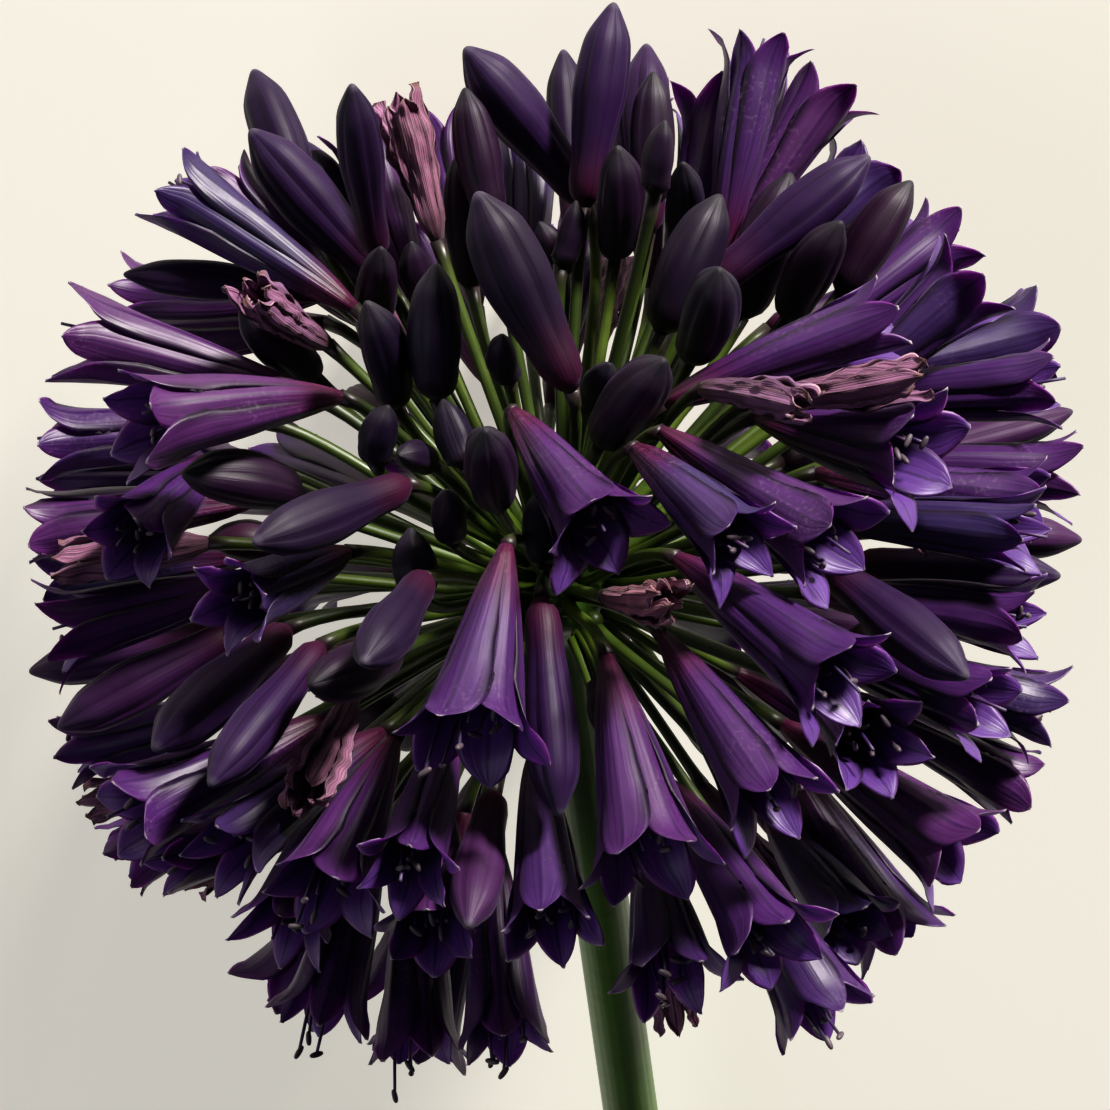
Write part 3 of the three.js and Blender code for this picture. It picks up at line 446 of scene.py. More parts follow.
@dataclass(init=False)
class Umbel:
    """Where every floret of the head stands, as one array row for each.

    A floret of its kind and width runs from base to tip, which are its length apart. first and
    second are directions square to it, of which first is as near as can be to hint. roll is the
    angle of its first tepal, and bow how far its middle stands off the straight line. root is
    where its pedicel starts, in the knot of its cyme, and knots are the cymes' own places. shift
    moves the whole stem across the floor.
    """

    kind: Array
    width: Array
    length: Array
    base: Array
    tip: Array
    roll: Array
    bow: Array
    hint: Array
    first: Array
    second: Array
    root: Array
    cyme: Array
    knots: Array
    shift: Array

    def __init__(self) -> None:
        """Lays the florets out, eases them apart and gathers them into cymes."""
        draw = Draw(SIZES.seed)
        self._place_front()
        self._place_rest(draw)
        drawn = np.array([[draw(), draw()] for _ in self.kind])
        self.roll = drawn[:, 0] * TURN / PARTS
        self.bow = -1.0 + 2.0 * drawn[:, 1]
        along_pole = np.abs(self.axis @ SIZES.pole)
        self.hint = np.where(along_pole[:, None] < SIZES.near_pole, SIZES.pole, X_AXIS)
        self._ease_apart(Ease())
        self._settle_knots()
        self.first, self.second = square_to(self.axis, self.hint)
        knot = self.knots[self.cyme]
        sideways, _ = square_to(unit(knot), unit(self.base))
        self.root = knot + SIZES.root_offset * sideways
        self.shift = self._find_shift()

    @property
    def axis(self) -> Array:
        """The florets' directions, from base to tip."""
        return unit(self.tip - self.base)

    def of(self, *kinds: Kind) -> Array:
        """The numbers of the florets that are of these kinds."""
        return np.flatnonzero(np.isin(self.kind, [kind.value for kind in kinds]))

    def _place_front(self) -> None:
        """Places the listed florets.

        A front one stands at its pedicel's length from the hub and leans forward by what its
        drawn length lacks. An open one is drawn as far as the near rim of its mouth, so the
        mouth's middle lies a little past that, and it is short enough not to lean far forward.
        One at the edge has its tip at the edge's reach from the hub, in front or behind, and
        leans as its tip does.
        """
        kind = np.array([row[0] for row in FLORETS])
        side = np.array([Side(row[1]).value for row in FLORETS])
        x0, y0, x1, y1, width = np.array([row[2:] for row in FLORETS], float).T
        drawn = np.hypot(x1 - x0, y1 - y0)
        pedicel = np.array([PEDICELS[Kind(name)] for name in kind])
        own = np.array([LENGTHS[Kind(name)] for name in kind])

        front_base = sighted(x0, y0, depth_for(x0, y0, pedicel))
        across = drawn * (1.0 - front_base[:, 2] / SIZES.sight_distance)
        is_open = kind == Kind.OPEN.value
        past = np.clip(SIZES.open_side_on / across, 1.0, SIZES.open_past_rim)
        past = np.where(is_open, past, 1.0)
        across = across * past
        leaning = np.maximum(SIZES.open_shortest, np.minimum(own, across / math.cos(SIZES.open_lean)))
        front_length = np.maximum(np.where(is_open, leaning, own), across)
        forward = np.sqrt(np.maximum(0.0, front_length**2 - across**2))
        front_tip = sighted(x0 + (x1 - x0) * past, y0 + (y1 - y0) * past, front_base[:, 2] + forward)

        edge_length = np.maximum(own, drawn)
        depth = depth_for(x1, y1, np.full_like(x1, SIZES.edge_reach))
        behind = -np.maximum(depth, SIZES.edge_back)
        before = np.maximum(depth, SIZES.edge_front)
        edge_tip = sighted(x1, y1, np.where(side == Side.BACK.value, behind, before))
        slope = edge_tip[:, 2] / np.hypot(x1, y1)
        axis = unit(np.stack([(x1 - x0) / drawn, (y1 - y0) / drawn, slope], axis=-1))
        edge_base = edge_tip - axis * edge_length[:, None]

        is_front = side == Side.FRONT.value
        self.kind, self.width = kind, width
        self.length = np.where(is_front, front_length, edge_length)
        self.base = np.where(is_front[:, None], front_base, edge_base)
        self.tip = np.where(is_front[:, None], front_tip, edge_tip)

    def _place_rest(self, draw: Draw) -> None:
        """Adds one floret at each spiral place out of view that no other floret is near.

        None hides the scape from in front. Each droops towards the scape by droop (1 + c), where
        c is its cosine to the pole, and pedicels shorten by shorter times what c lacks of
        short_below.

        Args:
            draw: the seeded draw.
        """
        rule = Rest()
        middles = list(unit((self.base + self.tip) / 2.0))
        kinds, widths, bases, tips, lengths = [], [], [], [], []
        for out in spiral_directions(rule.places, rule.spread):
            pick, size = draw(), draw()
            height = float(out @ SIZES.pole)
            in_view = out[2] > 0 and height > rule.below
            beside = abs(out[0] - out[1] * SIZES.pole[0] / SIZES.pole[1])
            before_scape = out[1] < 0 and out[2] > rule.bare_back and beside < rule.bare
            if in_view or before_scape or np.max(np.array(middles) @ out) > math.cos(rule.nearest):
                continue
            kind = next(kind for kind, share in rule.shares if pick < share)
            low, high = rule.mouths if kind is Kind.OPEN else rule.girths
            base = out * PEDICELS[kind] * (1.0 - rule.shorter * max(0.0, rule.short_below - height))
            kinds.append(kind.value)
            widths.append(low + (high - low) * size)
            lengths.append(LENGTHS[kind])
            bases.append(base)
            tips.append(base + unit(out - rule.droop * (1.0 + height) * SIZES.pole) * LENGTHS[kind])
            middles.append(out)
        self.kind = np.concatenate([self.kind, kinds])
        self.width = np.concatenate([self.width, widths])
        self.length = np.concatenate([self.length, lengths])
        self.base = np.concatenate([self.base, bases])
        self.tip = np.concatenate([self.tip, tips])

    def _beads(self, rule: Ease) -> dict[str, Array]:
        """The round beads that stand for the florets while they are eased apart.

        Args:
            rule: the beads' places and sizes.
        Returns:
            Arrays of each bead's owner, place along its pedicel (stalk) and body (along), radius,
            and how far out (out) at which turn it stands from its floret's midline.
        """
        rows = []
        for owner, (kind, width) in enumerate(zip(self.kind, self.width)):
            if kind == Kind.OPEN.value:
                rows += [(owner, 1, s, wall + flare * width, 0, 0) for s, wall, flare in rule.open_beads]
                along, out, radius = rule.tip_bead
                turns = [self.roll[owner] + k * TURN / PARTS for k in range(PARTS)]
                rows += [(owner, 1, along, radius, out * width, turn) for turn in turns]
            else:
                margin = rule.body_margin
                rows += [(owner, 1, s, girth * width + margin, 0, 0) for s, girth in rule.body_beads]
            rows += [(owner, stalk, 0, rule.pedicel_radius, 0, 0) for stalk in rule.pedicel_beads]
        names = ("owner", "stalk", "along", "radius", "out", "turn")
        beads = dict(zip(names, np.array(rows, float).T))
        beads["owner"] = beads["owner"].astype(int)
        return beads

    def _bead_places(self, beads: dict[str, Array]) -> Array:
        """Where the beads are: base times stalk, then along the body, then out from its midline.

        Args:
            beads: the arrays of _beads.
        Returns:
            Points, (beads, 3).
        """
        owner = beads["owner"]
        base, tip = self.base[owner], self.tip[owner]
        body = beads["stalk"] == 1
        at = base * beads["stalk"][:, None]
        at += np.where(body, beads["along"], 0.0)[:, None] * (tip - base)
        first, second = square_to(unit(tip - base), self.hint[owner])
        out, turn = beads["out"][:, None], beads["turn"][:, None]
        return at + out * np.cos(turn) * first + out * np.sin(turn) * second

    def _ease_apart(self, rule: Ease) -> None:
        """Moves florets whose beads press on each other apart, and up off the floor.

        Each pass takes away a share (step) of every overlap, moves the bases and tips by what
        their beads are pushed, less freely across the front than in depth, pulls them a little
        towards home, and gives each floret its length again.

        Args:
            rule: the beads and how they are moved.
        """
        beads = self._beads(rule)
        owner, radius = beads["owner"], beads["radius"]
        start = self._bead_places(beads)
        reach = radius[:, None] + radius[None, :] + rule.clear
        apart = np.linalg.norm(start[:, None] - start[None, :], axis=-1)
        meets = (apart < reach + rule.near) & (owner[:, None] != owner[None, :])
        one, other = np.nonzero(np.triu(meets, 1))
        reach = reach[one, other]
        up = SIZES.axes[2]
        freely = np.array([rule.sideways, rule.sideways, 1.0])
        homes = self.base.copy(), self.tip.copy()
        for number in range(rule.passes):
            places = self._bead_places(beads)
            between = places[one] - places[other]
            apart = np.linalg.norm(between, axis=-1)
            lacking = np.maximum(0.0, reach - apart)
            push = between * (rule.step * lacking / (2.0 * apart))[:, None]
            pushes = np.zeros_like(places)
            np.add.at(pushes, one, push)
            np.add.at(pushes, other, -push)
            sunk = np.maximum(0.0, radius - rule.tip_sink - SIZES.hub_height - places @ up)
            pushes += rule.step * sunk[:, None] * up
            hold = rule.home if number < rule.passes - rule.settle else 0.0
            shares = beads["stalk"] * (1.0 - beads["along"]), beads["stalk"] * beads["along"]
            for points, home, share in zip((self.base, self.tip), homes, shares):
                move = np.zeros_like(points)
                np.add.at(move, owner, pushes * share[:, None])
                points += move * freely
                points += (home - points) * hold
            self.tip = self.base + self.axis * self.length[:, None]

    def _settle_knots(self) -> None:
        """Finds the cymes' knots on the receptacle, and each floret's cyme.

        Knots start on the spiral. Each round gives every floret to the knot that is most nearly
        under it, draws each knot some way to its florets' middle for the first half of the
        rounds, moves knots that are too close apart, and sets them back on their sphere.
        """
        spacing = SIZES.knot_spacing
        knots = spiral_directions(SIZES.cyme_count, SIZES.cyme_spread) * SIZES.knot_reach
        count = len(knots)
        for number in range(SIZES.knot_rounds):
            cyme = np.argmax(self.base @ knots.T, axis=1)
            if number < SIZES.knot_rounds / 2:
                for i in np.unique(cyme):
                    middle = unit(self.base[cyme == i].sum(axis=0)) * SIZES.knot_reach
                    knots[i] += (middle - knots[i]) * SIZES.knot_drawn
            for i in range(count):
                for j in range(i + 1, count):
                    apart = knots[i] - knots[j]
                    far = math.sqrt(apart[0] ** 2 + apart[1] ** 2 + apart[2] ** 2)
                    if far < spacing:
                        apart = apart * ((spacing - far) / 2.0 / far)
                        knots[i] += apart
                        knots[j] -= apart
            down = np.arccos(unit(knots) @ SIZES.pole)
            across, _ = square_to(SIZES.pole, knots)
            spread = SIZES.cyme_spread
            lowest = SIZES.pole * math.cos(spread) + across * math.sin(spread)
            knots = unit(np.where(down[:, None] > spread, lowest, knots)) * SIZES.knot_reach
        self.cyme = np.argmax(self.base @ knots.T, axis=1)
        self.knots = knots

    def cyme_nodes(self, florets: Array) -> list[str]:
        """The names of the CAD nodes that hold these florets."""
        numbers = np.searchsorted(np.unique(self.cyme), np.unique(self.cyme[florets])) + 1
        return [f"cyme_{number:02d}" for number in numbers]

    def _find_shift(self) -> Array:
        """How far the whole stem is moved across the floor, so that the CAD box is centred.

        The box's sides at +x and +y are set by the solid florets' tips: the tip itself, and for an
        open flower its six tepals' tips round it.

        Returns:
            The shift in x and y, with no rise.
        """
        turn = self.roll[:, None] + np.arange(PARTS) * TURN / PARTS
        is_open = self.kind == Kind.OPEN.value
        out = np.where(is_open, self.width * SIZES.open_tip_share, 0.0)[:, None]
        points = (
            self.tip[:, None]
            + (out * np.cos(turn))[..., None] * self.first[:, None]
            + (out * np.sin(turn))[..., None] * self.second[:, None]
        )
        furthest = (points.reshape(-1, 3) @ SIZES.axes.T).max(axis=0)
        return np.array([CAD_BOX[1].x / MM - furthest[0], CAD_BOX[1].y / MM - furthest[1], 0.0])

    @property
    def hub(self) -> Array:
        """The hub's place in the CAD part's frame, in millimetres."""
        return np.array([0.0, 0.0, SIZES.hub_height]) + self.shift

    def lay_down(self, points: Array) -> Array:
        """Sets points of the head frame into the CAD part's frame.

        Below e = floor_ease the height z is eased to e exp(z / e - 1), so that a tepal that would
        dip into the floor is pressed flat on it.

        Args:
            points: in millimetres.
        Returns:
            The points in metres.
        """
        placed = points @ SIZES.axes.T + self.hub
        soft = SIZES.floor_ease
        low = soft * np.exp(np.minimum(placed[..., 2], soft) / soft - 1.0)
        placed[..., 2] = np.where(placed[..., 2] < soft, low, placed[..., 2])
        return placed * MM


# ---------------- skins and meshes


@dataclass
class Skin:
    """Closed skins of one make: each is a stack of rings, closed by a point at both ends.

    rings is (skins, rows, columns, 3) and ends (skins, 2, 3), in millimetres in the head frame.
    Columns run round anticlockwise as seen from the last row. across and along are read by the
    finishes: where on the skin a point is, sideways and lengthways. tone is a number from -1 to 1
    for each skin, and face is 1 where a point is on the inside of a flower or on a cut.
    """

    rings: Array
    ends: Array
    across: Array
    along: Array
    tone: Array
    face: Array

    @classmethod
    def of(cls, rings: Array, ends: Array, across: Array, along: Array, tone: Array,
           face: Array | float = 0.0) -> Skin:
        """A skin whose across, along, tone and face are spread over all its points."""
        spread = (np.broadcast_to(value, rings.shape[:-1]) for value in (across, along, tone, face))
        return cls(rings, ends, *spread)

    def vertices(self) -> Array:
        """Each skin's ring points, then its two ends."""
        skins = len(self.rings)
        return np.concatenate([self.rings.reshape(skins, -1, 3), self.ends], axis=1).reshape(-1, 3)

    def values(self, name: str) -> Array:
        """The named value of each vertex. An end has its nearest ring's mean.

        Args:
            name: across, along, tone or face.
        Returns:
            One number for each vertex, in the order of vertices().
        """
        value = getattr(self, name)
        ends = value[:, [0, -1]].mean(axis=-1)
        return np.concatenate([value.reshape(len(value), -1), ends], axis=1).reshape(-1)

    def faces(self) -> tuple[Array, Array]:
        """The faces, all facing out.

        Returns:
            Four-sided ones between rings, and three-sided ones at the ends, as vertex numbers.
        """
        skins, rows, columns = self.rings.shape[:3]
        i, j = np.meshgrid(np.arange(rows - 1), np.arange(columns), indexing="ij")
        beside = (j + 1) % columns
        walls = np.stack([
            i * columns + j, i * columns + beside,
            (i + 1) * columns + beside, (i + 1) * columns + j,
        ], axis=-1).reshape(-1, 4)
        ring = np.arange(columns)
        after = (ring + 1) % columns
        top = (rows - 1) * columns
        foot = np.full(columns, rows * columns)
        caps = np.concatenate([
            np.stack([foot, after, ring], axis=-1),
            np.stack([top + ring, top + after, foot + 1], axis=-1),
        ])
        starts = (np.arange(skins) * (rows * columns + 2))[:, None, None]
        return (walls + starts).reshape(-1, 4), (caps + starts).reshape(-1, 3)


@dataclass(frozen=True)
class Piece:
    """What a finished piece is called, and which CAD nodes it stands for."""

    name: str
    slot: str
    nodes: list[str]


def make_piece(piece: Piece, umbel: Umbel, skins: list[Skin], finish: Material) -> Object:
    """Puts skins into one mesh object, lays it down with the stem and dresses it.

    Args:
        piece: its name, the record's slot and the CAD nodes that it stands for.
        umbel: the head that it belongs to.
        skins: its skins, in the head frame.
        finish: its material.
    Returns:
        The object, which rides on the part's one body.
    """
    points = umbel.lay_down(np.concatenate([skin.vertices() for skin in skins]))
    starts = np.cumsum([0] + [len(skin.vertices()) for skin in skins[:-1]])
    parts = [skin.faces() for skin in skins]
    walls = np.concatenate([part[0] + start for part, start in zip(parts, starts)])
    caps = np.concatenate([part[1] + start for part, start in zip(parts, starts)])
    corners = np.concatenate([walls.ravel(), caps.ravel()]).astype(np.int32)
    first_corners = np.concatenate([
        np.arange(len(walls)) * 4, walls.size + np.arange(len(caps)) * 3,
    ]).astype(np.int32)

    mesh = bpy.data.meshes.new(piece.name)
    mesh.vertices.add(len(points))
    mesh.vertices.foreach_set("co", points.astype(np.float32).ravel())
    mesh.loops.add(len(corners))
    mesh.loops.foreach_set("vertex_index", corners)
    mesh.polygons.add(len(first_corners))
    mesh.polygons.foreach_set("loop_start", first_corners)
    mesh.update(calc_edges=True)
    mesh.polygons.foreach_set("use_smooth", np.ones(len(first_corners), bool))

    across, along, tone, face = (
        np.concatenate([skin.values(name) for skin in skins])
        for name in ("across", "along", "tone", "face")
    )
    pattern = np.stack([across, along], axis=-1)[corners].astype(np.float32)
    mesh.uv_layers.new(name="pattern").data.foreach_set("uv", pattern.ravel())
    for name, value in (("tone", tone), ("face", face)):
        layer = mesh.attributes.new(name, "FLOAT", "POINT")
        layer.data.foreach_set("value", value.astype(np.float32))
    mesh.validate()

    made = bpy.data.objects.new(piece.name, mesh)
    bpy.context.scene.collection.objects.link(made)
    mesh.materials.append(finish)
    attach(made, "root")
    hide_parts(*piece.nodes)
    count = sum(len(skin.rings) for skin in skins)
    triangles = 2 * len(walls) + len(caps)
    log.info("%s: %d skins, %d triangles, stands for %d CAD nodes",
             piece.name, count, triangles, len(piece.nodes))
    return made


def tube(path: Array, sides: Array, other: Array, radius: Array,
         columns: int) -> tuple[Array, Array]:
    """Round rings carried along paths.

    A ring's point at angle v is path + radius (cos v side + sin v other).

    Args:
        path: (tubes, rows, 3) middles of the rings.
        sides: the direction of each ring's first point.
        other: the direction a quarter of a turn on.
        radius: each ring's radius, (tubes, rows) or with columns too.
        columns: how many points a ring has.
    Returns:
        The rings, and the two end points, which are the first and the last middle.
    """
    v = np.arange(columns) * TURN / columns
    radius = radius[..., None] if radius.ndim == 2 else radius
    rings = (
        path[:, :, None]
        + (radius * np.cos(v))[..., None] * sides[:, :, None]
        + (radius * np.sin(v))[..., None] * other[:, :, None]
    )
    return rings, path[:, [0, -1]]


# ---------------- finishes


class Graph:
    """Adds nodes to a node tree, linked as they are made."""

    def __init__(self, tree: bpy.types.NodeTree) -> None:
        """Works in tree."""
        self.tree = tree

    def add(self, kind: str, inputs: dict | None = None, **settings: object) -> Node:
        """A new node.

        Args:
            kind: the node's type.
            inputs: values or sockets for its inputs, by name or number.
            settings: its own properties.
        Returns:
            The node.
        """
        node = self.tree.nodes.new(kind)
        for name, value in settings.items():
            setattr(node, name, value)
        for name, value in (inputs or {}).items():
            self.put(node.inputs[name], value)
        return node

    def put(self, socket: Socket, value: object) -> None:
        """Links a socket, or sets it.

        Args:
            socket: an input.
            value: a socket to link to it, or what to set it to.
        """
        if isinstance(value, Socket):
            self.tree.links.new(value, socket)
        elif isinstance(value, tuple) and socket.type == "RGBA":
            socket.default_value = (*value, 1.0)
        else:
            socket.default_value = value

    def math(self, operation: str, *values: object) -> Socket:
        """The result of a Math node on values."""
        node = self.add("ShaderNodeMath", dict(enumerate(values)), operation=operation)
        return node.outputs[0]

    def step(self, value: object, low: object, high: object, start: float = 0.0,
             end: float = 1.0) -> Socket:
        """A smooth step.

        Args:
            value: what it is read at.
            low: where it starts.
            high: where it ends.
            start: the result at low and below.
            end: the result at high and above.
        Returns:
            The result.
        """
        node = self.add("ShaderNodeMapRange", interpolation_type="SMOOTHSTEP")
        names = ("Value", "From Min", "From Max", "To Min", "To Max")
        for name, number in zip(names, (value, low, high, start, end)):
            self.put(node.inputs[name], number)
        return node.outputs[0]

    def mix(self, share: object, a: object, b: object) -> Socket:
        """A mix of two colours.

        Args:
            share: 0 for a alone, 1 for b alone.
            a: a colour or its socket.
            b: another.
        Returns:
            The mixed colour.
        """
        node = self.add("ShaderNodeMix", data_type="RGBA")
        self.put(node.inputs["Factor"], share)
        colours = [socket for socket in node.inputs if socket.type == "RGBA"]
        self.put(colours[0], a)
        self.put(colours[1], b)
        return next(socket for socket in node.outputs if socket.type == "RGBA")

    def noise(self, scale: float, detail: float = 3.0, place: Socket | None = None) -> Socket:
        """Soft noise from 0 to 1.

        Args:
            scale: how many waves there are to a metre, or to 1 in place's own units.
            detail: how many finer noises are laid over it.
            place: where it is read, if not at the object's own coordinates.
        Returns:
            The noise.
        """
        place = place or self.add("ShaderNodeTexCoord").outputs["Object"]
        node = self.add("ShaderNodeTexNoise", {"Vector": place, "Scale": scale, "Detail": detail})
        return node.outputs["Fac"]


class SharedEffect:
    """A shader node group that several finishes use."""

    def __init__(self, name: str, inputs: dict[str, object], outputs: tuple[str, ...]) -> None:
        """Makes the group and its sockets.

        Args:
            name: the group's name.
            inputs: each input's name and default. A tuple makes a colour, a number a value.
            outputs: names of the outputs. Color is a colour, and any other a value.
        """
        self.tree = bpy.data.node_groups.new(name, "ShaderNodeTree")
        for label, value in inputs.items():
            kind = "NodeSocketColor" if isinstance(value, tuple) else "NodeSocketFloat"
            socket = self.tree.interface.new_socket(label, in_out="INPUT", socket_type=kind)
            socket.default_value = (*value, 1.0) if isinstance(value, tuple) else value
        for label in outputs:
            kind = "NodeSocketColor" if label == "Color" else "NodeSocketFloat"
            self.tree.interface.new_socket(label, in_out="OUTPUT", socket_type=kind)
        self.graph = Graph(self.tree)
        self.given = self.tree.nodes.new("NodeGroupInput").outputs
        self.result = self.tree.nodes.new("NodeGroupOutput").inputs

    def put(self, name: str, socket: Socket) -> None:
        """Sends socket to the output called name."""
        self.graph.put(self.result[name], socket)

    def use(self, graph: Graph, values: dict[str, object]) -> Node:
        """Places the group in another tree, with values or sockets for its inputs."""
        return graph.add("ShaderNodeGroup", values, node_tree=self.tree)


BLACK: Colour = (0.0, 0.0, 0.0)


@dataclass(frozen=True)
class GrownColour:
    """A colour that runs from foot to tip, differs from one floret to the next, and is mottled.

    It runs from Foot to Body by Foot End, and to Tip from Tip Start on. Body moves towards Warm
    where the skin's tone is above 0 and towards Cool where it is below. Mottle darkens patches a
    few millimetres wide. Scales are waves to a metre.
    """

    ragged_scale: float = 95.0
    ragged_share: float = 0.25
    mottle_scale: float = 260.0
    mottle_step: tuple = (0.45, 0.75)

    def make(self) -> SharedEffect:
        """Builds the node group.

        Returns:
            The shared effect.
        """
        colours = {name: BLACK for name in ("Foot", "Body", "Warm", "Cool", "Tip")}
        numbers = {"Foot End": 0.3, "Tip Start": 0.9, "Mottle": 0.3}
        inputs = {"Along": 0.0, "Tone": 0.0} | colours | numbers
        effect = SharedEffect("grown_colour", inputs, ("Color",))
        graph, given = effect.graph, effect.given
        body = graph.mix(graph.step(given["Tone"], 0.0, 1.0), given["Body"], given["Warm"])
        body = graph.mix(graph.step(given["Tone"], -1.0, 0.0, 1.0, 0.0), body, given["Cool"])
        patch = graph.math("SUBTRACT", graph.noise(self.ragged_scale), 0.5)
        place = graph.math("MULTIPLY_ADD", patch, self.ragged_share, given["Along"])
        footed = graph.mix(graph.step(place, 0.0, given["Foot End"]), given["Foot"], body)
        tipped = graph.mix(graph.step(given["Along"], given["Tip Start"], 1.0), footed, given["Tip"])
        mottled = graph.step(graph.noise(self.mottle_scale), *self.mottle_step)
        dark = graph.math("MULTIPLY", mottled, given["Mottle"])
        effect.put("Color", graph.mix(dark, tipped, BLACK))
        return effect


@dataclass(frozen=True)
class LengthwiseLines:
    """Fine lines that run the length of a petal or a stalk.

    They are a sine of Across with Count waves, made uneven by noise that changes slowly along
    the skin. Height is for a bump, and Mask darkens the hollows.
    """

    across_scale: float = 6.0
    along_scale: float = 2.0
    uneven: float = 9.0
    hollow: float = 0.45

    def make(self) -> SharedEffect:
        """Builds the node group.

        Returns:
            The shared effect.
        """
        inputs = {"Across": 0.0, "Along": 0.0, "Count": 9.0}
        effect = SharedEffect("lengthwise_lines", inputs, ("Height", "Mask"))
        graph, given = effect.graph, effect.given
        place = graph.add("ShaderNodeCombineXYZ")
        graph.put(place.inputs[0], graph.math("MULTIPLY", given["Across"], self.across_scale))
        graph.put(place.inputs[1], graph.math("MULTIPLY", given["Along"], self.along_scale))
        sway = graph.noise(1.0, 2.0, place.outputs[0])
        waves = graph.math("MULTIPLY", given["Count"], math.pi)
        angle = graph.math("MULTIPLY", given["Across"], waves)
        wave = graph.math("SINE", graph.math("MULTIPLY_ADD", sway, self.uneven, angle))
        height = graph.math("MULTIPLY_ADD", wave, 0.5, 0.5)
        effect.put("Height", height)
        effect.put("Mask", graph.step(height, 0.0, self.hollow, 1.0, 0.0))
        return effect


@dataclass
class Palette:
    """Makes the materials, with the shared effects that they use."""

    grown: SharedEffect = field(default_factory=GrownColour().make)
    lines: SharedEffect = field(default_factory=LengthwiseLines().make)


@dataclass(frozen=True)
class SkinGrain:
    """What the living skins share.

    Scales are waves to a metre. A pair of numbers is the start and the end of a smooth step: of
    a noise, of the way along a flower (throat, where its painted shade gives way, and mouth) or
    of Across (edge). The glint areas' noise picks the areas that hold the glint specks, which
    are painted glints. The haze near a closed flower's or a bud's tip, with its painted sheen,
    is patchy by its own noise.
    """

    rough_scale: float = 350.0
    grain_scale: float = 1500.0
    grain_share: float = 0.35
    bump: float = 0.4
    # painted glints: fine pale specks, gathered in patches
    glint_spot_scale: float = 1300.0
    glint_spot: tuple = (0.52, 0.68)
    glint_area_scale: float = 60.0
    glint_area: tuple = (0.5, 0.66)
    # a pale waxy haze near a tip, with a painted sheen, in patches
    bloom_and_sheen_scale: float = 420.0
    bloom_and_sheen_patch: tuple = (0.3, 0.7)
    bloom_and_sheen_least: float = 0.4
    # the stretch along a flower where the painted throat shade gives way to the inside colour
    throat: tuple = (0.35, 0.8)
    mouth: tuple = (0.76, 0.9)
    rib_core: float = 0.3
    # where the painted groove shade is full across the tepal
    fold_shade_end: float = 0.95
    edge: tuple = (0.88, 1.0)
    sheen_rough: float = 0.4
    coat_rough: float = 0.35
    glow_depth: float = 0.0012
    glow_radii: tuple = (0.9, 0.4, 1.0)


GRAIN = SkinGrain()


